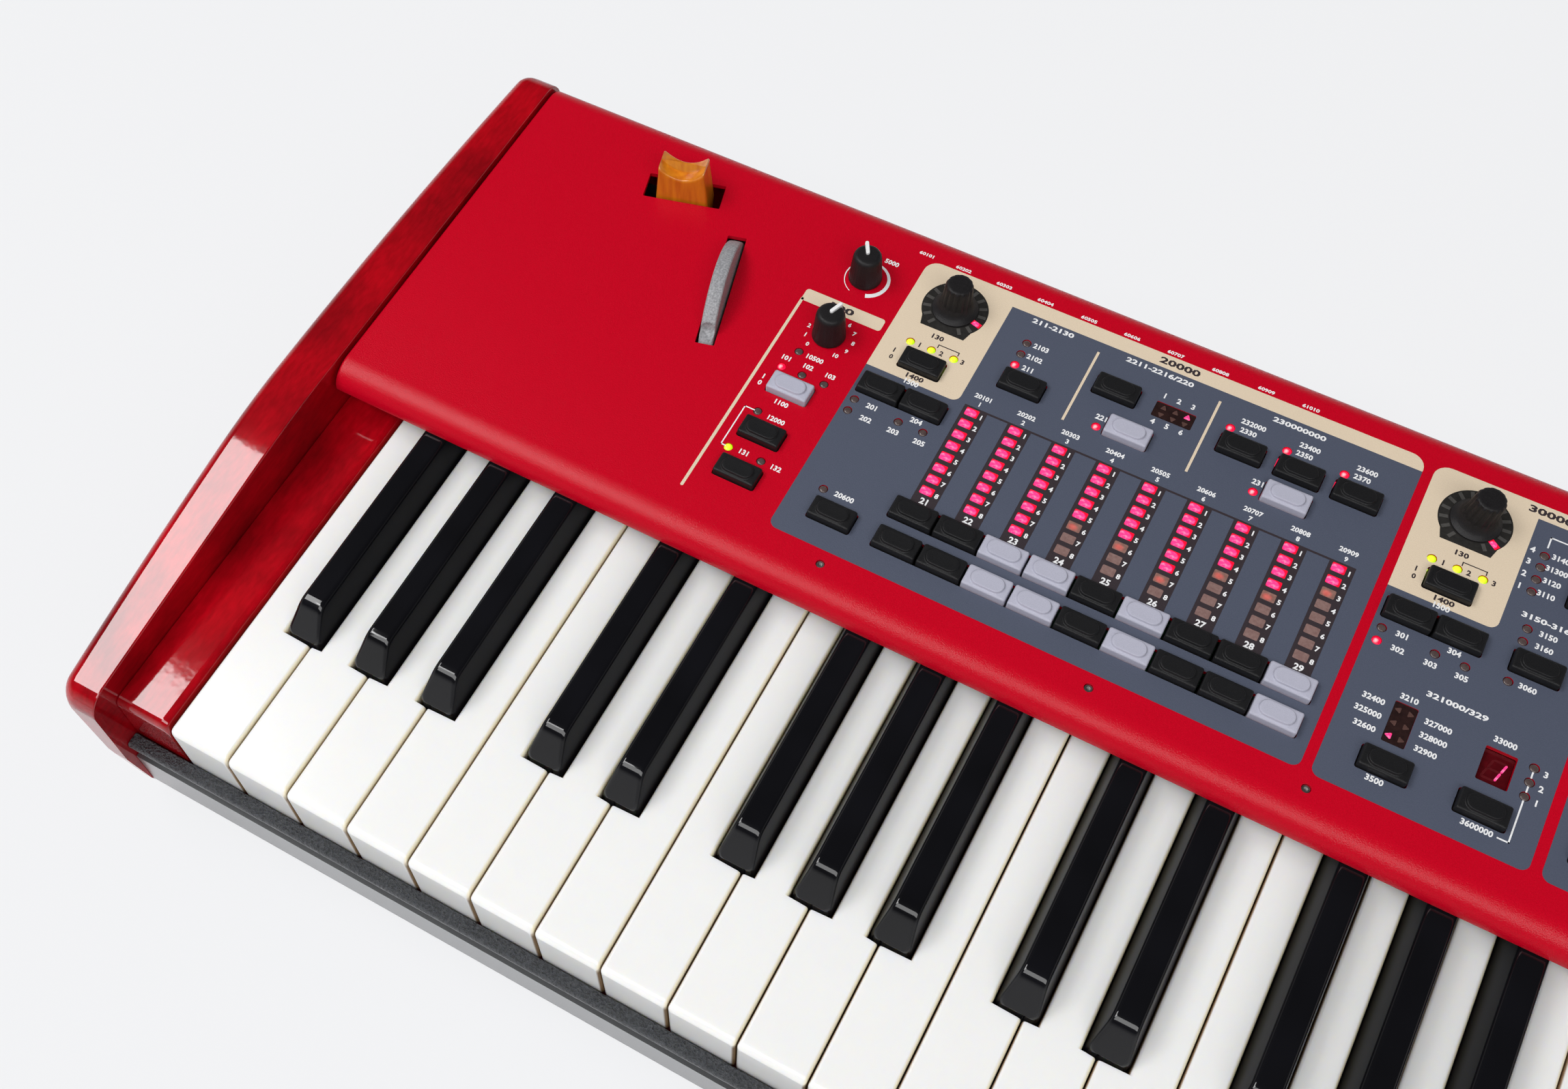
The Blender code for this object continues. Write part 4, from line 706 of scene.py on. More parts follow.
def panel_profile(drop):
    """Outer arcs from the lip to the rear, then the inner ones back; the outer face lies drop deeper."""
    rear, centre = panel_high[1], PANEL - ROLL
    lip_end, roll_start = PANEL_FRONT + LIP_DEPTH, rear - ROLL

    def arcs(inset, steps, between=()):
        """Lip, the points between, and rear roll, moved in by the inset."""
        lip = arc(0, 0, 1, 180, 90, steps) * (LIP_DEPTH - inset, ROLL - inset) + (lip_end, centre)
        return [lip, *between, arc(roll_start, centre, ROLL - inset, 90, 0, steps)]

    flat = [[(lip_end + 0.4, PANEL - drop)], [(roll_start - 0.4, PANEL - drop)]]
    outer = arcs(drop, 28, flat) + [[(rear - drop, centre - 0.4), (rear - drop, PANEL - REAR_DROP)]]
    inner = np.concatenate(arcs(SHEET, 14) + [[(rear - SHEET, PANEL - REAR_DROP)]])
    return np.concatenate(outer + [inner[::-1]])


places = [(panel_low[0] + x, drop) for x, drop in LIP_ENDS]
places += [(panel_high[0] - x, drop) for x, drop in LIP_ENDS[::-1]]
sheet = loft([in_space(panel_profile(drop), 0, x) for x, drop in places])
top_sheet = piece("top_panel_sheet", sheet, panel_red, angle=30, replaces=["top_panel"])
print("sheet is", SHEET, "mm thick and its profile has", len(sheet[0]) // len(places), "points")

# %% [markdown]
# ## Small round lights and their holes
# Each light is a 3 mm dome that stands on the board and ends flush with the panel, in a hole of its own. The
# table gives state and place; the holes, the printed fields and the domes are all made from it.

# %% Table of lights
LIGHT_TABLE = [
    ("green", [(x, 241.8) for x in (151.4, 159.4, 167.9, 335.4, 343.6, 351.8)]),
    ("red", [(x, 259.4) for x in (261.5, 281.2, 300.8)] + [(116.5, 211.2)]),
    ("off", [(124.5, 211.2), (133.0, 211.2), (119.0, 219.7), (118.0, 190.6)]),
    ("green", [(116.0, 173.0)]),
    ("off", [(128.5, 173.0), (145.0, 210.6), (145.0, 205.4), (162.3, 209.1), (171.5, 209.1), (187.4, 259.9),
             (187.4, 254.7)]),
    ("red", [(187.4, 249.6), (221.8, 238.8), (276.8, 238.9)]),
    ("off", [(152.0, 173.1), (329.4, 210.1)]),
    ("red", [(329.4, 205.1)]),
    ("off", [(346.6, 208.9), (356.0, 208.9), (368.9, 231.0), (368.9, 226.0), (368.9, 210.3)]),
    ("off", [(366.3, y) for y in (259.4, 254.7, 249.7, 244.7)] + [(384.0, y) for y in (185.6, 180.4, 175.3)]),
    ("off", [(x, 241.75) for x in (534.3, 542.3, 550.8)]),
    ("off", [(528.3, 210.1), (528.3, 205.1), (545.5, 208.9), (554.9, 208.9)]),
    ("off", [(x - 5.0, 172.8) for x in PROGRAM + [543.7, 573.2] + EFFECTS]),
    ("off", [(x, y) for x in EFFECTS for y in (226.0, 220.5, 215.0)])]
LIGHTS = [(*place, state) for state, places in LIGHT_TABLE for place in places]
LIGHT_RADIUS = 1.45
SCREWS = [(x, 147.0) for x in (164.0, 257.3, 327.0, 420.0, 513.5, 607.0, 700.0, 793.0, 886.0, 979.0)]
WINDOWS = {"vibrato": (243.0, 255.2, 14.0, 6.6), "piano_type": (344.7, 180.4, 7.2, 15.0),
           "piano_model": (374.2, 180.3, 9.6, 12.2), "program": (458.3, 226.0, 46.0, 16.0)}
print(len(LIGHTS), "lights")


# %% Cutting the sheet
def small_holes(low, high):
    """Holes of the lights, screws and display windows."""
    bodies = rods([place[:2] for place in LIGHTS], LIGHT_RADIUS + 0.17, low, high)
    bodies += rods(SCREWS, 1.55, low, high)
    return bodies + [slab(rounded(w, d, 0.5, 2) + (x, y), low, high) for x, y, w, d in WINDOWS.values()]


def pierce(made, below, above):
    """Cut all holes in two goes, from below to above the panel's face; small cutters are a bit shorter."""
    cut(made, control_holes(PANEL - below, PANEL + above))
    cut(made, small_holes(PANEL - (below - 0.1), PANEL + (above - 0.1)))


pierce(top_sheet, 4, 2)
print("panel sheet has", len(top_sheet.data.polygons), "faces")

# %% [markdown]
# ## Printed fields
# The colours on the panel are screen prints, a few hundredths of a millimetre of ink. Each is a very thin
# plate with the same holes as the sheet. A slate field carries a section, and cream marks its heading and
# its level control.

# %% Fields
INK = 0.05
ON_SLATE, ON_CREAM = PANEL + 0.04, PANEL + 0.08
FIELD_FRONT, HEAD_FRONT, FIELD_REAR = 152.1, 272.3, 278.0
ZONE_WIDTH, ZONE_FRONT = 34.6, 226.0    # the cream area round a level control
FIELDS = [(142.0, 322.7, True), (326.1, 391.5, True), (395.0, 521.6, False), (525.0, 700.0, True),
          (703.4, 908.0, False)]        # from x, to x, with such an area
slate = finish("slate_ink", (0.066, 0.078, 0.118), (0.080, 0.093, 0.136), scale=2400, bump=0.3)
cream = finish("cream_ink", (0.70, 0.57, 0.42), (0.76, 0.63, 0.47), scale=2400, bump=0.3)
white_ink = finish("white_ink", (0.80, 0.80, 0.81), (0.86, 0.86, 0.87), scale=2400)
black_ink = finish("black_ink", (0.030, 0.022, 0.026), (0.042, 0.030, 0.036), rough=0.45, scale=2400)


def soft_corners(x0, x1, y0, y1, radii):
    """Outline with one radius per corner: lower left, lower right, upper right, upper left."""
    places = ((x0, y0, 180, 1, 1), (x1, y0, 270, -1, 1), (x1, y1, 0, -1, -1), (x0, y1, 90, 1, -1))
    return np.concatenate([arc(x + dx * r, y + dy * r, r, a, a + 90, 6)
                           for (x, y, a, dx, dy), r in zip(places, radii)])


def cream_outline(x0, x1, zone):
    """Heading strip, with the level area hanging from its left end where the section has one."""
    top = [arc(x1 - 5, FIELD_REAR - 5, 5, 0, 90, 6), arc(x0 + 5, FIELD_REAR - 5, 5, 90, 180, 6)]
    if not zone:
        return np.concatenate(top + [[(x0, HEAD_FRONT), (x1, HEAD_FRONT)]])
    inner = x0 + ZONE_WIDTH
    return np.concatenate(top + [[(x0, ZONE_FRONT)], arc(inner - 3, ZONE_FRONT + 3, 3, 270, 360, 6),
                                 [(inner, HEAD_FRONT), (x1, HEAD_FRONT)]])


fields = [slab(soft_corners(x0, x1, FIELD_FRONT, FIELD_REAR, (3, 3, 5, 5)), PANEL - 0.01, ON_SLATE)
          for x0, x1, _ in FIELDS]
heads = [slab(cream_outline(*each), ON_SLATE, ON_CREAM) for each in FIELDS]
for made in (piece("slate_fields", gather(fields), slate), piece("cream_headings", gather(heads), cream)):
    pierce(made, 1, 1)
print(len(FIELDS), "fields")


# %% Cream and white lines
def ink(outline, z=PANEL):
    """One thin layer of ink on the level z."""
    return slab(outline, z, z + INK)


def line(points, width, z=ON_SLATE):
    """Level and upright strokes between the points, one bar each, that overlap at the corners."""
    half = width / 2
    return [bar(min(xa, xb) - half, max(xa, xb) + half, min(ya, yb) - half, max(ya, yb) + half, z, z + INK)
            for (xa, ya), (xb, yb) in zip(points, points[1:])]


def wedge(x, y, outer, start, end, thin, thick):
    """Crescent: inner radius falls from outer - thin to outer - thick between two angles."""
    turn = np.linspace(0, 1, 49)
    a = np.radians(start + (end - start) * turn)
    inner = outer - thin - (thick - thin) * turn ** 1.4
    out = np.stack([np.cos(a), np.sin(a)], 1)
    return ink(np.concatenate([outer * out, (inner[:, None] * out)[::-1]]) + (x, y))


tag = ink(soft_corners(109.0, 140.0, 240.5, 246.0, (0.2, 1.2, 1.2, 1.2)))
stroke = ink(soft_corners(108.8, 109.9, 152.0, 241.5, (0.5, 0.5, 0.1, 0.1)))
dividers = [bar(x - 0.45, x + 0.45, 236.0, 268.0, ON_SLATE, ON_SLATE + INK) for x in (210.75, 254.75)]
piece("cream_lines", gather([tag, stroke] + dividers), cream)
strokes = [wedge(126.0, 259.4, 8.3, 245, -70, 0.25, 1.7)]
strokes += line([(118.0, 190.5), (113.2, 190.5), (113.2, 173.0), (115.0, 173.0)], 0.45, PANEL)
for points in ([(384.0, 173.6), (384.0, 158.7), (380.8, 158.7)], [(384.0, 183.9), (384.0, 182.1)],
               [(384.0, 178.7), (384.0, 177.0)],
               [(366.3, 263.0), (366.3, 267.0), (384.5, 267.0), (384.5, 263.0)]):
    strokes += line(points, 0.5)
mark = np.array([(-0.25, 8.6), (0.25, 8.6), (0.25, 10.2), (-0.25, 10.2)])
strokes += [ink(turned(mark, -a) + place, ON_SLATE)
            for place in SMALL_DIALS for a in np.linspace(-130, 130, 11)]
zone_strokes = []
for left in (160.25, 343.9, 542.3):
    x0, x1 = left + 0.6, left + 8.3
    zone_strokes += line([(x0, 243.7), (x0, 245.0), (x1, 245.0), (x1, 243.7)], 0.35, ON_CREAM)
piece("white_lines", gather(strokes), white_ink)
piece("zone_lines", gather(zone_strokes), black_ink)
print(len(strokes), "white strokes")

# %% [markdown]
# ## Numbers
# Scales, lights and buttons are marked with plain numbers, in hundreds by section. A number is set once as
# type, turned into a mesh, welded and measured; after that it is only an array that is copied to its places.

# %% Type as arrays
TYPE = {}
BOLDER = 0.034                          # a glyph's outline moves out by this share of the type size


def glyphs(text):
    """Mesh of a number, one unit high, centred, from Blender's own font; made once for each text."""
    if text not in TYPE:
        source = show("type", setting(bpy.data.curves.new("type", "FONT"), body=text, extrude=0.01,
                                      resolution_u=2, offset=BOLDER))
        graph = bpy.context.evaluated_depsgraph_get()
        mesh = bpy.data.meshes.new_from_object(source.evaluated_get(graph), depsgraph=graph)
        work = bmesh.new()
        work.from_mesh(mesh)
        bmesh.ops.remove_doubles(work, verts=work.verts, dist=1e-4)
        work.to_mesh(mesh)
        work.free()
        points = np.empty(len(mesh.vertices) * 3)
        mesh.vertices.foreach_get("co", points)
        points = points.reshape(-1, 3)
        low, high = points.min(0), points.max(0)
        points = (points - (low + high) / 2) / (high[1] - low[1])
        TYPE[text] = points, [list(face.vertices) for face in mesh.polygons]
        bpy.data.objects.remove(source, do_unlink=True)
    return TYPE[text]


def number(text, x, y, height, z=ON_SLATE, wide=1.0):
    """Number of a given height, centred on (x, y), one layer of ink thick on the level z."""
    points, faces = glyphs(str(text))
    size = np.array([height * wide, height, INK / np.ptp(points[:, 2])])
    return points * size + (x, y, z + INK / 2), faces


# %% Number tables
ON_LIGHT = PANEL + 0.10                 # on the light bars' strips
RED_LABELS = [(5000, 130.6, 270.3), (10500, 125.4, 219.4), (101, 116.4, 215.2), (102, 125.0, 215.2),
              (103, 133.5, 215.2), (1, 113.0, 204.6), (0, 113.0, 201.6), (1100, 123.8, 197.2),
              (12000, 125.4, 190.2), (131, 121.8, 173.4), (132, 134.4, 172.8)]
SLATE_LABELS = [(2103, 192.6, 260.2), (2102, 192.4, 255.0), (211, 192.0, 249.8), (221, 222.0, 242.9),
                (231, 277.0, 242.9), (232000, 268.0, 264.0), (2330, 267.4, 260.4), (23400, 287.5, 264.0),
                (2350, 286.8, 260.4), (23600, 307.0, 264.0), (2370, 306.4, 260.4), (20600, 159.6, 173.4),
                (3140, 371.2, 260.4), (31300, 371.2, 255.5), (3120, 371.0, 250.6), (3110, 370.6, 245.4),
                (3150, 375.4, 231.2), (3160, 375.4, 226.4), (3060, 374.8, 210.6), (3210, 344.6, 190.2),
                (32400, 335.0, 185.3), (325000, 334.8, 180.3), (32600, 335.4, 175.2), (327000, 355.0, 185.3),
                (328000, 355.0, 180.3), (32900, 354.2, 175.2), (33000, 374.2, 189.6), (3500, 343.7, 159.2),
                (3600000, 374.6, 158.9)]
ZONE_LABELS = [(1, 151.6, 210.4), (2, 152.0, 204.9), (3, 162.3, 204.8), (4, 167.6, 212.2), (5, 172.0, 204.8)]
SLATE_LABELS += [(hundred + text, x + shift, y) for hundred, shift in ((200, 0.0), (300, 184.1), (400, 383.0))
                 for text, x, y in ZONE_LABELS]
SLATE_LABELS += [(1500, left + 17.3, 225.9) for left in SECTION.values()]
HEADINGS = [("211-2130", 192.9, 270.2), ("2211-2216/220", 232.4, 269.9), (230000000, 281.9, 269.7),
            ("3150-31600", 375.4, 235.7), ("321000/329", 358.0, 194.7)]
PANEL_SCALE = (140.0, 154.5, 170.2, 186.0, 202.4, 218.4, 234.4, 250.5, 266.8, 282.4)
print(len(RED_LABELS) + len(SLATE_LABELS) + len(HEADINGS), "labels with places of their own")

# %% White numbers
ROW_PITCH, FIRST_ROW = 5.09, 224.2      # of the light bars beside the drawbar numbers
marks = [number(*label, 2.1, PANEL) for label in RED_LABELS]
marks += [number(*label, 2.2) for label in SLATE_LABELS]
marks += [number(*label, 2.1, wide=1.5) for label in HEADINGS]
for i, a in enumerate(np.radians(np.linspace(-140, 140, 11))):
    x, y = KNOBS[1]
    marks.append(number(i, x + 0.6 + 8.6 * math.sin(a), y - 0.2 + 8.6 * math.cos(a), 1.8, PANEL))
for i, x in enumerate(DRAWBARS, 1):
    marks += [number(20000 + 101 * i, x + 0.9, 231.7, 2.0), number(i, x + 1.0, 228.6, 1.9),
              number(20 + i, x + 0.7, 184.4, 2.5, ON_LIGHT)]
    marks += [number(row + 1, x + 3.65, FIRST_ROW - 0.5 - ROW_PITCH * row, 2.0, ON_LIGHT) for row in range(8)]
marks += [number(i, 362.3, y, 2.3) for i, y in enumerate((245.2, 250.3, 255.3, 260.2), 1)]
for i, y in enumerate((185.0, 179.8, 174.7)):
    x = 237.6 + 5.0 * i
    marks += [number(i + 1, x, 261.4, 2.2), number(i + 4, x, 249.8, 2.2), number(3 - i, 387.6, y, 2.2)]
marks += [number(60000 + 101 * i, x, 279.6, 1.5, PANEL, 1.25) for i, x in enumerate(PANEL_SCALE, 1)]
marks += [number(341 + i, x + 1.6, 172.2, 2.3) for i, x in enumerate(PROGRAM)]
for i, x in enumerate(EFFECTS):
    marks += [number(511 + i, x + 1.6, 172.2, 2.3), number(501 + i, x, 265.8, 2.4, wide=1.5)]
piece("white_numbers", gather(marks), white_ink, angle=20)
print(len(marks), "white numbers")

# %% Dark numbers
dark = [number(100, 124.1, 243.3, 2.8, PANEL + INK, 1.9)]
for x in SECTION.values():
    dark += [number(i, x + shift, 241.9, 2.1, ON_CREAM) for i, shift in enumerate((12.9, 21.1, 29.1), 1)]
    dark += [number(1, x + 6.0, 235.9, 2.0, ON_CREAM), number(0, x + 6.2, 232.8, 2.0, ON_CREAM),
             number(1400, x + 17.4, 228.4, 2.1, ON_CREAM, 1.3),
             number(130, x + 17.2, 247.7, 2.1, ON_CREAM, 1.2)]
for i, (x0, x1, zone) in enumerate(FIELDS, 2):
    dark.append(number(10000 * i, (x0 + x1) / 2 + (5.3 if zone else 0), 275.2, 2.8, ON_CREAM, 1.6))
piece("dark_numbers", gather(dark), black_ink, angle=20)
print(len(dark), "dark numbers; all are copies of", len(TYPE), "glyph meshes")

# %% [markdown]
# ## Light that comes from inside
# A lit plastic window is brightest over its lamp and redder towards the rim. The group measures the distance
# from the middle in the piece's own UV and mixes the two colours; it only puts out the colour.

# %% Glow
def make_glow_group():
    """Core turns to Rim by the distance of (U, V), shaken by a noise, from 0; Spot dapples the Core."""
    tree, given, out = new_group("glow", {"Vector": "Vector", "Color": "Core Rim Spot",
                                          "Float": "Near Reach"}, {"Color": "Colour"})
    patch = add(tree, "TexNoise", "Fac", {"Vector": given["Vector"], "Scale": 1.3})
    core = blend(tree, ramp(tree, patch, 0.50, 0.66, kind="LINEAR"), given["Core"], given["Spot"])
    noise = add(tree, "TexNoise", "Color", {"Vector": given["Vector"], "Scale": 1.7})
    shake = add(tree, "VectorMath", 0, {0: noise, "Scale": 0.35}, operation="SCALE")
    shaken = add(tree, "VectorMath", 0, {0: given["Vector"], 1: shake}, operation="ADD")
    away = add(tree, "VectorMath", "Value", {0: shaken}, operation="LENGTH")
    feed(out, {"Colour": blend(tree, ramp(tree, away, given["Near"], given["Reach"]), core, given["Rim"])})
    return tree


GLOW = make_glow_group()


def glowing(name, core, rim, strength, base=(0.02, 0.004, 0.006), spot=None, near=0.25, reach=1.3):
    """Dark clear plastic that sends out the glow colours of its UV map."""
    made = finish(name, base, tuple(2 * c for c in base), rough=0.25, scale=800, bump=0)
    tree = made.node_tree
    colour = add(tree, "Group", "Colour", {"Vector": add(tree, "UVMap", "UV", {}, uv_map="lamp"),
                                           "Core": (*core, 1), "Rim": (*rim, 1), "Spot": (*(spot or core), 1),
                                           "Near": near, "Reach": reach}, node_tree=GLOW)
    feed(tree.nodes["Principled BSDF"], {"Emission Color": colour, "Emission Strength": strength})
    return made


lamp_red = glowing("lamp_red", (1.0, 0.050, 0.27), (0.95, 0.001, 0.030), 1.12, spot=(1.0, 0.24, 0.46),
                   near=0.85, reach=1.12)
dome_red = glowing("dome_red", (1.0, 0.60, 0.64), (0.98, 0.003, 0.055), 1.15, near=0.12, reach=0.70)
lamp_green = glowing("lamp_green", (0.98, 1.0, 0.05), (0.42, 0.80, 0.0), 1.2, base=(0.01, 0.02, 0.0))
lamp_dim = glowing("lamp_dim", (0.62, 0.07, 0.06), (0.14, 0.06, 0.05), 0.8, base=(0.10, 0.06, 0.05),
                   reach=1.0)
lamp_off = finish("lamp_off", (0.20, 0.115, 0.105), (0.27, 0.17, 0.155), rough=0.25)
dome_off = finish("dome_off", (0.068, 0.046, 0.045), (0.100, 0.074, 0.070), rough=0.2, bump=0)


def lamps(name, bodies, centres, half, look):
    """Piece with a UV map that runs from -1 to 1 across each body: (point - centre) / half."""
    made = piece(name, gather(bodies), look)
    flat = np.concatenate([(points[:, :2] - centre) / half for (points, _), centre in zip(bodies, centres)])
    loops = np.empty(len(made.data.loops), np.int32)
    made.data.loops.foreach_get("vertex_index", loops)
    made.data.uv_layers.new(name="lamp").data.foreach_set("uv", flat[loops].ravel())


print("the glow has", len(GLOW.nodes), "nodes")


# %% Light domes
def dome(x, y, radius=LIGHT_RADIUS):
    """Cylinder from the board to the panel's face, closed by a low round top."""
    shoulder = PANEL - 0.35
    rings = [(radius, BOARD_TOP), (radius, shoulder)]
    rings += [(radius * math.cos(a), shoulder + 0.6 * math.sin(a)) for a in np.radians((20, 40, 58, 74, 86))]
    return rise([(circle(x, y, r), z) for r, z in rings])


for state, look in (("red", dome_red), ("green", lamp_green), ("off", dome_off)):
    places = [(x, y) for x, y, lit in LIGHTS if lit == state]
    lamps(f"{state}_lights", [dome(*place) for place in places], places, LIGHT_RADIUS, look)
    print(len(places), state, "lights")

# %% [markdown]
# ## Light bars
# Beside each drawbar number stands a column of eight small windows, lit from the top down to the setting.
# They lie in one dark comb of ink. A window is a low block whose top is drawn in, so that its UV map has a
# middle.

# %% Light bars
LIT_ROWS = (8, 8, 8, 5, 5, 6, 4, 4, 2)
STRIP_LEFT, STRIP_RIGHT, STRIP_FRONT, STRIP_REAR = -3.5, 5.0, 182.2, 225.9      # about a drawbar's middle
BLOCK_STAGES = ((1, PANEL + 0.08), (1, PANEL + 0.14), (0.5, PANEL + 0.15),
                (0.1, PANEL + 0.15))    # (share of the outline, height)
comb = [(DRAWBARS[-1] + STRIP_RIGHT, STRIP_REAR + 0.75), (DRAWBARS[0] + STRIP_LEFT, STRIP_REAR + 0.75)]
for x in DRAWBARS:
    comb += [(x + STRIP_LEFT, STRIP_REAR), (x + STRIP_LEFT, STRIP_FRONT), (x + STRIP_RIGHT, STRIP_FRONT),
             (x + STRIP_RIGHT, STRIP_REAR)]
piece("bar_strips", slab(comb[:2] + comb[3:-1], PANEL + 0.03, PANEL + 0.10), black_ink)
blocks = {"lit": [], "dim": [], "off": []}
for x, lit in zip(DRAWBARS, LIT_ROWS):
    for row in range(8):
        state = "lit" if row < lit else "dim" if row == lit else "off"
        blocks[state].append((x, FIRST_ROW - ROW_PITCH * row))
block = rounded(4.6, 3.3, 0.35, 2)
for state, look in (("lit", lamp_red), ("dim", lamp_dim), ("off", lamp_off)):
    bodies = [rise([(block * scale + place, z) for scale, z in BLOCK_STAGES]) for place in blocks[state]]
    lamps(f"{state}_blocks", bodies, blocks[state], (2.3, 1.65), look)
print({state: len(places) for state, places in blocks.items()})

# %% [markdown]
# ## Windows
# Two windows show small triangles behind smoked glass, and two are displays of red digits. The glass is a
# body of its own, and what lights up is a thin plate on top of it.

# %% Windows with triangles
window_glass = finish("window_glass", (0.016, 0.008, 0.008), (0.030, 0.014, 0.013), rough=0.15, scale=500,
                      bump=0)
display_glass = finish("display_glass", (0.060, 0.002, 0.004), (0.090, 0.003, 0.006), rough=0.15, scale=500,
                       bump=0)
triangle_off = finish("triangle_off", (0.075, 0.035, 0.030), (0.11, 0.055, 0.045), rough=0.4, bump=0)
SHALLOW, DEEP = 0.25, 1.9               # how far the glass lies below the panel's face


def pane(name, drop):
    """Glass body in a window, its face a little below the panel."""
    x, y, w, d = WINDOWS[name]
    return slab(rounded(w - 0.1, d - 0.1, 0.45, 2) + (x, y), BOARD_TOP, PANEL - drop)


def triangle(x, y, aim, size=1.35):
    """Equal-sided triangle with clipped corners that points in a direction given in degrees."""
    corners = arc(0, 0, size, 90, 330, 2)
    clipped = np.stack([corners * 0.86 + np.roll(corners, s, 0) * 0.14 for s in (1, -1)], 1).reshape(-1, 2)
    return ink(turned(clipped, aim - 90) + (x, y), PANEL - SHALLOW - 0.02)


piece("triangle_windows", gather([pane("vibrato", SHALLOW), pane("piano_type", SHALLOW)]), window_glass)
piece("display_windows", gather([pane("piano_model", DEEP), pane("program", DEEP)]), display_glass)
triangles = [(239.0 + 4.2 * i, y, aim) for y, aim in ((256.6, 90), (253.7, 270)) for i in range(3)]
triangles += [(x, 185.2 - 4.8 * i, aim) for x, aim in ((342.9, 180), (346.5, 0)) for i in range(3)]
lit = [triangles[2], triangles[8]]
piece("dark_triangles", gather([triangle(*each) for each in triangles if each not in lit]), triangle_off)
lamps("lit_triangles", [triangle(*each, 1.5) for each in lit], [each[:2] for each in lit], 1.5, lamp_red)
print(len(triangles), "triangles,", len(lit), "of them lit")

# %% Digits
DIGIT_ENDS = [((-2, 4), (2, 4)), ((2, 4), (2, 0)), ((2, 0), (2, -4)), ((-2, -4), (2, -4)),
              ((-2, 0), (-2, -4)), ((-2, 4), (-2, 0)), ((-2, 0), (2, 0))]
digit_off = finish("digit_off", (0.085, 0.004, 0.007), (0.11, 0.006, 0.009), rough=0.3, bump=0)


def segment(a, b, half=0.36):
    """Slim six-sided stroke between two points, on the glass of a display."""
    along = (b - a) / np.linalg.norm(b - a) * half
    side = np.array([-along[1], along[0]])
    outline = [a, a + along + side, b - along + side, b, b - along - side, a + along - side]
    return ink(outline, PANEL - DEEP - 0.01)


def digit_strokes(x, y):
    """Seven strokes of a digit 5 mm wide and 8.6 mm high, which leans: (u + 0.26 v, 0.85 v)."""
    return [segment(*(np.array([x + u + 0.26 * v, y + 0.85 * v]) for u, v in ends)) for ends in DIGIT_ENDS]


one = digit_strokes(374.2, 180.3)
rest = [stroke for x in (441.0, 449.7, 458.3, 467.0, 475.7) for stroke in digit_strokes(x, 226.0)]
lamps("lit_digit", one[1:3], [(376.7, 182.0), (375.7, 178.6)], 2.2, lamp_red)
piece("dark_digits", gather([one[0]] + one[3:] + rest), digit_off)
print(len(one) + len(rest), "digit strokes")

# %% [markdown]
# ## Dials and knobs
# A turned part is a profile carried round its axis. The grip's ribs are a small cosine added to the radius,
# which fades out at the rim so that the top stays round. Moulded knobs like these have a matte skin.

# %% Turned parts
knob_skin = finish("knob_skin", (0.009, 0.008, 0.009), (0.016, 0.015, 0.016), rough=0.42, scale=2600,
                   bump=0.35, specular=0.22)
pointer_white = finish("pointer_white", (0.80, 0.80, 0.80), (0.88, 0.88, 0.88), rough=0.4, bump=0.05)
DIAL_PROFILE = [(3.0, BOARD_TOP), (3.0, 21.3), (8.1, 21.3), (8.2, 21.5), (8.15, 21.9), (7.6, 22.3),
                (6.9, 22.8), (6.3, 23.5), (5.9, 24.3), (5.65, 25.0), (5.55, 25.6), (5.45, 26.2),
                (5.0, 33.2), (4.85, 34.0), (4.5, 34.6), (4.0, 34.9), (3.2, 35.0), (1.0, 35.0)]
KNOB_PROFILE = [(3.0, BOARD_TOP), (3.0, 21.3), (5.9, 21.3), (6.0, 21.5), (6.0, 22.3), (5.85, 23.2),
                (5.2, 31.6), (5.0, 32.7), (4.7, 33.3), (4.2, 33.75), (3.4, 33.95), (1.0, 34.0)]


def turned_part(x, y, profile, ribs, depth, span, sides=84):
    """Rings of radius r (1 - depth * rib(angle)), ribbed only between two heights."""
    a = np.arange(sides) * 2 * math.pi / sides
    wave = (0.5 - 0.5 * np.cos(ribs * a)) ** 2
    stages = []
    for radius, z in profile:
        fade = np.clip(min((z - span[0]) / 0.8, (span[1] - z) / 0.8), 0, 1)
        r = radius * (1 - depth * fade * wave)
        stages.append((np.column_stack([x + r * np.cos(a), y + r * np.sin(a)]), z))
    return rise(stages)


def dial_body(x, y):
    """Level dial: a cone with fourteen ribs over a wide foot."""
    return turned_part(x, y, DIAL_PROFILE, 14, 0.10, (25.4, 34.8))


def knob_body(x, y):
    """Pointer knob: fine ribs low down and a smooth shoulder."""
    return turned_part(x, y, KNOB_PROFILE, 28, 0.035, (22.6, 32.6))


def pointer(x, y, clockwise, width=1.35):
    """Raised bar on a knob's top, rounded at both ends, that runs out over the rim."""
    stages = []
    for scale, z in ((1, 33.2), (1, 34.75), (0.75, 34.95)):
        ring = rounded(width * scale, 5.6 - width * (1 - scale), 0.6 * scale, 3)
        stages.append((turned(ring + (0, 2.5), -clockwise) + (x, y), z))
    return rise(stages)


for node, place, clockwise in (("master_level_knob", KNOBS[0], -30), ("drive_knob", KNOBS[1], 20)):
    dress(node, "grip", knob_body(*place), knob_skin)
    piece(node + "_pointer", pointer(*place, clockwise), pointer_white, node)
for node, place in (("organ_level_dial", DIALS[0]), ("piano_level_dial", DIALS[1])):
    dress(node, "grip", dial_body(*place), knob_skin)
print("a dial has", len(dial_body(0, 0)[1]), "faces")

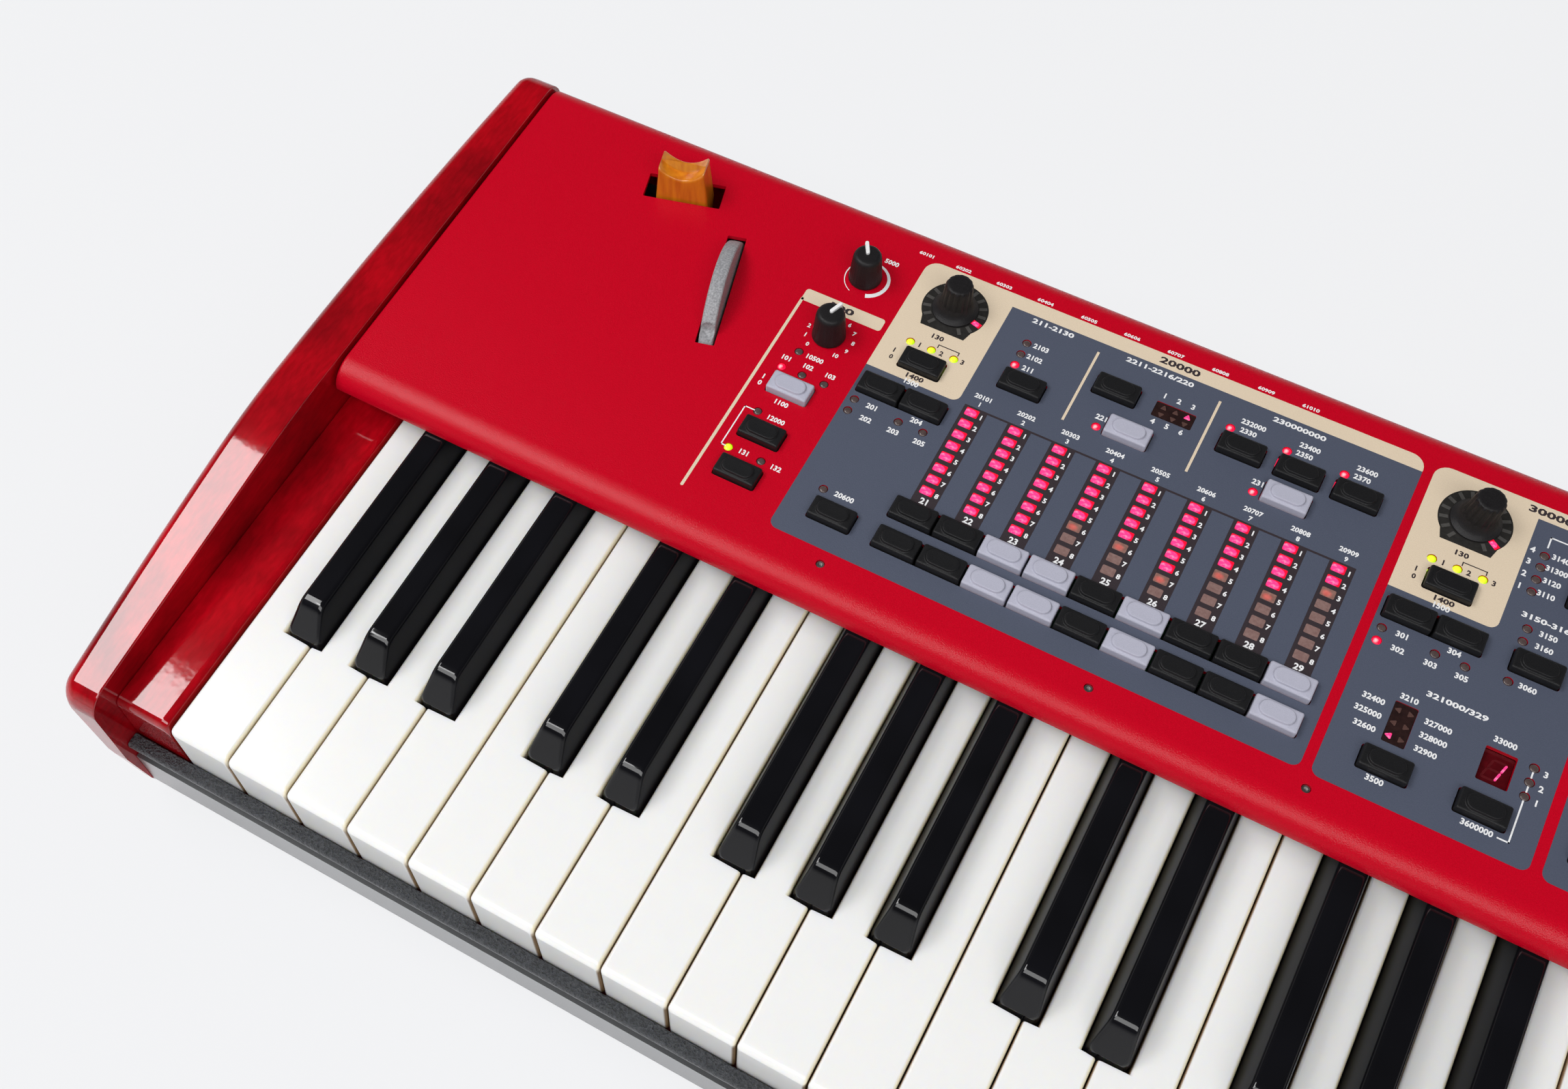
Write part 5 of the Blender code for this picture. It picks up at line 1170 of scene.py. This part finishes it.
# %% Windows round the dials
LIT_MARKS, MARK_TURN = (5, 6, None), 21.14      # which of the marks -7 to 7 is lit; degrees from mark to mark
ring_skin = finish("dial_window", (0.020, 0.019, 0.018), (0.030, 0.028, 0.026), rough=0.22, bump=0.05)
ring_off = finish("ring_off", (0.060, 0.058, 0.054), (0.085, 0.080, 0.075), rough=0.4, bump=0)
ring_windows, dark_ring, lit_ring = [], [], []
for (x, y), lit in zip(DIALS, LIT_MARKS):
    outline = np.concatenate([arc(x, y, 11.8, -38, 218, 60), [(x - 8.2, y - 11.2), (x + 8.2, y - 11.2)]])
    ring_windows.append(slab(outline, ON_CREAM - 0.01, ON_CREAM + 0.05))
    for step in range(-7, 8):
        half, inner, outer = (1.0, 7.9, 11.5) if step == lit else (0.62, 8.5, 11.3)
        mark = np.array([(-half, inner), (half, inner), (half, outer), (-half, outer)])
        mark = turned(mark, -MARK_TURN * step) + (x, y)
        (lit_ring if step == lit else dark_ring).append(slab(mark, ON_CREAM + 0.04, ON_CREAM + 0.07))
cut(piece("dial_windows", gather(ring_windows), ring_skin), rods(DIALS, SHAFT_HOLE, PANEL - 1, PANEL + 1, 24))
piece("dark_ring_marks", gather(dark_ring), ring_off)
lamps("lit_ring_marks", lit_ring, [points[:, :2].mean(0) for points, _ in lit_ring], 1.3, lamp_red)
print(len(dark_ring) + len(lit_ring), "marks round the dials")

# %% [markdown]
# ## Rubbery buttons
# A button is one moulding: a low block with eased edges and an oval pad that rises from it in a hollow flank.
# Both outlines have as many points, so one ring turns into the other.

# %% Buttons
BLOCK_TOP = PANEL + 2.7
PAD = (11.2, 5.5, 2.7)                  # width, depth and corner radius of the oval
SHOULDER = [(0, PANEL - 0.5), (-0.05, BLOCK_TOP - 0.65), (-0.16, BLOCK_TOP - 0.28), (-0.42, BLOCK_TOP - 0.06),
            (-0.75, BLOCK_TOP)]         # (how much the outline grows, height)
PAD_STAGES = [(0.42, 0.04), (0.22, 0.12), (0.10, 0.35), (0.04, 0.70), (-0.05, 0.88), (-0.25, 0.96),
              (-0.9, 0.93), (-1.8, 0.90)]       # the same, with the height above the block
GREY_MOVING = ("rotor_source_button", "vibrato_on_button", "percussion_on_button")


def button_body(x, y, foot):
    """Rings from the foot over the block's shoulder and the hollow flank to the dished pad."""
    def grown(ring, grow):
        """The ring, scaled so that each side moves out by grow."""
        return ring * (1 + 2 * grow / np.ptp(ring, axis=0)) + (x, y)

    outer, oval = rounded(*BUTTON, 0.7, 7), rounded(*PAD, 7)
    return rise([(grown(outer, grow), z) for grow, z in [(0, foot)] + SHOULDER]
                + [(grown(oval, grow), BLOCK_TOP + z) for grow, z in PAD_STAGES])


for node, (x, y) in moving.items():
    look, slot = (cap_grey, "grey_rubber") if node in GREY_MOVING else (cap_black, "black_plastic")
    dress(node, "cap", button_body(x, y, 12.5), look, angle=50)
print(len(moving), "moving caps")

# %% [markdown]
# ## The control board
# All controls that don't travel in this model stand on one green board under the panel, as on the real
# object. Each kind is gathered into one piece.

# %% Control board and what it carries
low, high = lay("control_board")
plate = bar(low[0], high[0], low[1], high[1], low[2], BOARD_TOP)
piece("control_board_plate", plate, board_green, replaces=["control_board"])
for colour, look in (("black", cap_black), ("grey", cap_grey)):
    bodies = [button_body(x, y, BOARD_TOP) for x, y, paint in carried if paint == colour]
    piece(f"fixed_{colour}_caps", gather(bodies), look, angle=50, replaces=["control_board"])
fixed_dials = [dial_body(*DIALS[2])] + [knob_body(*place) for place in SMALL_DIALS]
piece("fixed_dials", gather(fixed_dials), knob_skin, replaces=["control_board"])
pointers = [pointer(*place, a) for place, a in zip(SMALL_DIALS, (-60, 0, 40, -20, 90, -130, 15))]
piece("fixed_pointers", gather(pointers), pointer_white)
posts = rods([(x, 275.0) for x in (250.0, 408.0, 512.0, 715.0, 930.0, 1000.0)], 3.0, BOARD_TOP, PANEL - 1.9)
piece("board_posts", gather(posts), zinc, replaces=["control_board"])
print(len(carried), "caps,", len(fixed_dials), "dials and", len(posts), "posts on the board")

# %% Screws in the panel
HEAD_STAGES = [(1.45, PANEL - 3.5), (1.45, PANEL - 0.8), (1.3, PANEL - 0.65), (0.8, PANEL - 0.65),
               (0.75, PANEL - 1.4)]     # sunk cylinder head with a socket: (radius, height)
screw_steel = finish("screw_steel", (0.30, 0.29, 0.28), (0.45, 0.44, 0.43), rough=0.4, metallic=1.0)
screws = [rise([(arc(x, y, r, 0, 342, 18), z) for r, z in HEAD_STAGES]) for x, y in SCREWS]
piece("panel_screws", gather(screws), screw_steel)
print(len(screws), "screws")

# %% [markdown]
# ## Stick and wheel
# The stick is a block of honey-coloured wood with a saddle for the finger. The wheel is a flat disc of a
# stone-like composite with a hollow for the thumb. Both stand in slots that are turned towards the hand.

# %% Pitch stick
honey = finish("honey_wood", (0.52, 0.115, 0.006), (0.78, 0.29, 0.012), rough=0.28, scale=330, detail=4,
               contrast=2.2, bump=0.05, coat=0.5, coat_rough=0.12, stretch=(1.0, 1.0, 0.12))
HEAD = PANEL + 15.0                     # top of the stick
SADDLE_DEPTH = 4.5
STICK_STAGES = [(16.0, 9.6, -15.0, 0), (20.5, 9.6, PANEL - 4, 0), (19.0, 9.6, PANEL + 4, 0),
                (17.4, 9.6, HEAD - 3, 0.6), (17.3, 9.6, HEAD - 1.2, 1), (17.2, 9.5, HEAD - 0.6, 1),
                (17.0, 9.1, HEAD - 0.2, 1), (16.7, 8.4, HEAD, 1), (16.7, 6.0, HEAD - 0.02, 1),
                (16.7, 3.0, HEAD - 0.03, 1), (16.7, 0.4, HEAD - 0.03, 1)]   # width, depth, height, saddle


def stand(body, place, height=0.0):
    """Turn a body about Z by the slots' tilt and move it to a place on the panel."""
    points, faces = body
    return np.column_stack([turned(points[:, :2], TILT) + place, points[:, 2] + height]), faces


def stick_body():
    """Rounded rectangles that widen to the waist, narrow to the head and take on the saddle's parabola."""
    rings = []
    for width, depth, z, saddle in STICK_STAGES:
        ring = rounded(width, depth, min(0.9, depth * 0.45), 4)
        sides = np.linspace(-1, 1, 17)[1:-1] * (width / 2 - 1)
        ring = np.concatenate([in_space(-sides[:, None], 1, depth / 2), ring[5:15],
                               in_space(sides[:, None], 1, -depth / 2), ring[15:], ring[:5]])
        drop = SADDLE_DEPTH * (1 - np.clip(2 * ring[:, 0] / width, -1, 1) ** 2) * saddle
        rings.append(np.column_stack([ring, z - drop]))
    return loft(rings)


def shaft(outline, axis, reach):
    """A flat outline carried from -reach to reach along an axis."""
    return loft([in_space(outline, axis, at) for at in (-reach, reach)])


dress("pitch_stick", "wood", stand(stick_body(), STICK), honey)
piece("pitch_stick_pin", stand(shaft(circle(0, -9.0, 2.0, 24), 1, 6.3), STICK), zinc, "pitch_stick")
print("stick stands", HEAD - PANEL, "mm over the panel")

# %% Mod wheel
stone = finish("grey_stone", (0.19, 0.19, 0.20), (0.40, 0.40, 0.42), rough=0.5, scale=1500, detail=5,
               contrast=2.4, bump=0.5, depth=0.0003)
WHEEL_RADIUS, HALF_WIDTH, FLANK_ROUND = 30.0, 2.7, 1.0
BALL, BALL_LIFT, BALL_ANGLE = 3.4, 1.53, 316    # the hollow's radius, its middle's height and where it is
AXLE_HEIGHT = PANEL + 10.7 - WHEEL_RADIUS


def wheel_body():
    """Section (across, radius) carried round X; a ball-shaped hollow lowers the rim 44 degrees forward."""
    flank = -HALF_WIDTH + FLANK_ROUND * (1 - np.cos(np.radians((30, 60, 90))))
    u = np.concatenate([[-HALF_WIDTH, -HALF_WIDTH], flank, np.linspace(-1.3, 1.3, 9)])
    u = np.concatenate([u, -u[4::-1]])
    r = WHEEL_RADIUS - 0.10 * (u / 1.7) ** 2
    r[:5] = 3.0, 28.9, 29.45, 29.8, 29.9
    r[-5:] = r[4::-1]
    rings = []
    for a in np.unique(np.radians(np.concatenate([np.linspace(0, 357, 120), np.linspace(304, 328, 31)]))):
        away = np.hypot(u, WHEEL_RADIUS * (a - math.radians(BALL_ANGLE)))
        hollow = np.sqrt(np.clip(BALL ** 2 - away ** 2, 0, None)) - BALL_LIFT
        radius = np.where(r > 20, r - np.clip(hollow, 0, None), r)
        rings.append(np.column_stack([u, radius * math.sin(a), radius * math.cos(a)]))
    points, faces = loft(rings + rings[:1], close=False)
    count = len(rings) * len(u)
    return points[:count], [[index % count for index in face] for face in faces]


dress("mod_wheel", "disc", stand(wheel_body(), WHEEL, AXLE_HEIGHT), stone, angle=30)
piece("mod_wheel_axle", stand(shaft(circle(0, 0, 3.0, 24), 0, 4.2), WHEEL, AXLE_HEIGHT), zinc, "mod_wheel")
print("axle at z", round(AXLE_HEIGHT, 2))

# %% [markdown]
# ## Sockets at the rear
# Jack sockets are turned steel barrels in black collars, the data sockets are wide cups with five pin holes,
# shown as dark discs of painted shade, and the mains inlet is a moulded frame with three pins. Each is a
# section carried along Y and stands on the board.

# %% Main board
board_low, board_high = lay("main_board")
FACE, SOCKET_LEVEL = board_high[1], -28.0
WALL, INSIDE, PLATE = FACE - 1.1, FACE - 15.1, SOCKET_LEVEL - 4.6
plate = bar(120.0, 960.0, board_low[1], WALL, PLATE - 1.6, PLATE)
posts = rods([(x, board_low[1] + 6.0) for x in (126.0, 540.0, 954.0)], 3.0, board_low[2], PLATE, 8)
piece("main_board_plate", plate, board_green, replaces=["main_board"])
piece("main_board_posts", gather(posts), zinc)
print("board at z", round(PLATE, 1), "inside the wall at y", round(WALL, 1))

# %% Sockets
JACKS, CUPS, INLET = [141.5 + 16.1 * i for i in range(10)], (330.0, 356.0), 940.0


def along_y(x, steps, outline=circle(0, 0, 1, 32), z=SOCKET_LEVEL):
    """Sections about (x, z) carried along Y: steps are (scale, distance in from the face)."""
    return loft([in_space(outline * scale + (x, z), 1, FACE - inward) for scale, inward in steps])


REACH = FACE - INSIDE
COLLAR = [(1.0, REACH), (5.6, REACH), (5.6, 0.5), (5.1, 0), (4.1, 0), (4.1, 9.4), (1.0, 9.4)]
BARREL = [(1.0, 9.2), (3.95, 9.2), (3.95, 0.2), (3.35, 0.2), (3.2, 0.6), (3.2, 8.8), (1.0, 8.8)]
CUP = [(1.0, REACH), (8.0, REACH), (8.0, 0.5), (7.5, 0), (6.7, 0), (6.6, 1.4), (1.0, 1.4)]
INLET_RIM = [(0.1, REACH), (1.0, REACH), (1.0, 0.6), (0.96, 0), (0.84, 0), (0.80, 6.0), (0.1, 6.0)]
collars = [along_y(x, COLLAR) for x in JACKS] + [along_y(x, CUP) for x in CUPS]
collars.append(along_y(INLET, INLET_RIM, rounded(22.0, 14.0, 1.5, 4)))
piece("rear_socket_collars", gather(collars), cap_black)
piece("rear_socket_barrels", gather([along_y(x, BARREL) for x in JACKS]), zinc)
# Painted shade: thin dark discs on the cups' floor stand for the pin holes, which are not cut.
holes = [along_y(x + 4.3 * math.cos(a), [(0.75, 1.5), (0.75, 1.3)], z=SOCKET_LEVEL + 4.3 * math.sin(a))
         for x in CUPS for a in np.radians((0, 45, 90, 135, 180))]
piece("data_pin_hole_shades", gather(holes), rubber_black)
pins = [bar(x - 1.0, x + 1.0, FACE - 6.2, FACE - 1.5, z - 2.0, z + 2.0) for x, z in (
    (INLET - 5.0, SOCKET_LEVEL - 1.2), (INLET, SOCKET_LEVEL + 1.2), (INLET + 5.0, SOCKET_LEVEL - 1.2))]
piece("inlet_pins", gather(pins), zinc)
print(len(collars), "sockets face y", round(FACE, 1))

# %% [markdown]
# ## What stays as it came
# The pan, the feet, the key frame, the felt, the power supply and the brackets are right as the model has
# them, so they only get a finish.

# %% Finishes of the nodes that stay
STAYING = {"bottom_pan": pan_black, "key_stop_felt": felt_red}
STAYING |= {node: zinc for node in ("key_frame", "power_supply", "pitch_stick_bracket", "mod_wheel_bracket")}
STAYING |= {f"{end}_{side}_foot": rubber_black for end in ("front", "rear") for side, _ in SIDES}
for node, look in STAYING.items():
    frame["nodes"][node].data.materials.clear()
    frame["nodes"][node].data.materials.append(look)
print(len(STAYING), "nodes stay")

# %% [markdown]
# ## Floor, world and lamps
# The camera sees a white studio: the floor and the sky answer camera rays with plain white. Diffuse light
# comes from the whole sky and from a high, wide softbox in front. A narrow one at the left gives the long
# reflections on wood and keys, and a small one draws the light line on the panel's lip.

# %% Floor
FLOOR_PAINT, FLOOR_SEEN, SEEN_SHARE = (0.80, 0.81, 0.83, 1), (0.893, 0.898, 0.912, 1), 0.88


def studio_floor():
    """A white sheet: mostly a white of its own for the camera, and a share of paint that holds the shadow."""
    mesh = bpy.data.meshes.new("floor")
    mesh.from_pydata([(-6, -6, 0), (6, -6, 0), (6, 6, 0), (-6, 6, 0)], [], [(0, 1, 2, 3)])
    made, look = show("floor", mesh), setting(bpy.data.materials.new("floor_white"), use_nodes=True)
    tree = look.node_tree
    shader = tree.nodes["Principled BSDF"]
    feed(shader, {"Base Color": FLOOR_PAINT, "Roughness": 0.9})
    rays = tree.nodes.new("ShaderNodeLightPath").outputs
    seen = add(tree, "Math", 0, {0: rays["Is Camera Ray"], 1: SEEN_SHARE}, operation="MULTIPLY")
    glow = add(tree, "Emission", 0, {"Color": FLOOR_SEEN})
    mixed = add(tree, "MixShader", 0, {0: seen, 1: shader.outputs[0], 2: glow})
    feed(tree.nodes["Material Output"], {"Surface": mixed})
    mesh.materials.append(look)


studio_floor()
print("the camera sees", SEEN_SHARE, "of the floor as plain white")

# %% World
SKY = 0.315                             # strength of the diffuse light


def studio_world():
    """Camera and transmission rays see white; glossy rays see a white horizon and a dim ceiling."""
    world_data = bpy.data.worlds.new("studio")
    bpy.context.scene.world = world_data
    world_data.use_nodes = True
    tree = world_data.node_tree
    tree.nodes.clear()
    rays = tree.nodes.new("ShaderNodeLightPath").outputs
    height = add(tree, "SeparateXYZ", "Z", {0: tree.nodes.new("ShaderNodeTexCoord").outputs["Generated"]})
    plain = add(tree, "Background", 0, {"Strength": SKY})
    shiny = add(tree, "Background", 0, {"Strength": ramp(tree, height, 0.05, 0.50, 0.9, 0.02, "LINEAR")})
    white = add(tree, "Background", 0, {"Strength": 1.0})
    lit = add(tree, "MixShader", 0, {0: rays["Is Glossy Ray"], 1: plain, 2: shiny})
    direct = add(tree, "Math", 0, {0: rays["Is Camera Ray"], 1: rays["Is Transmission Ray"]},
                 operation="MAXIMUM")
    mixed = add(tree, "MixShader", 0, {0: direct, 1: lit, 2: white})
    feed(tree.nodes.new("ShaderNodeOutputWorld"), {"Surface": mixed})


studio_world()
bpy.context.scene.view_settings.view_transform = "Standard"
print("sky strength", SKY)


# %% Lamps
def softbox(name, place, aim, size, power):
    """Rectangular area lamp at a place, turned so that its -Z axis points at the aim."""
    lamp = setting(bpy.data.lights.new(name, "AREA"), shape="RECTANGLE", size=size[0], size_y=size[1],
                   energy=power)
    z = np.array(place, float) - np.array(aim, float)
    z /= np.linalg.norm(z)
    x = np.cross((0, 1, 0), z)
    x /= np.linalg.norm(x)
    y = np.cross(z, x)
    rows = [[x[i], y[i], z[i], place[i]] for i in range(3)] + [[0, 0, 0, 1]]
    show(name, lamp).matrix_world = Matrix(rows)


softbox("left_softbox", (-1.43, -0.24, 1.60), (-0.3, -0.1, 0.07), (0.52, 1.02), 12.6)
softbox("front_softbox", (0.15, -1.05, 1.75), (0.05, -0.02, 0.07), (3.0, 0.8), 30.0)
softbox("lip_softbox", (-0.95, -0.47, 1.60), (-0.4, 0.0, 0.08), (0.46, 0.2), 2.5)
print(len(bpy.data.lights), "softboxes")
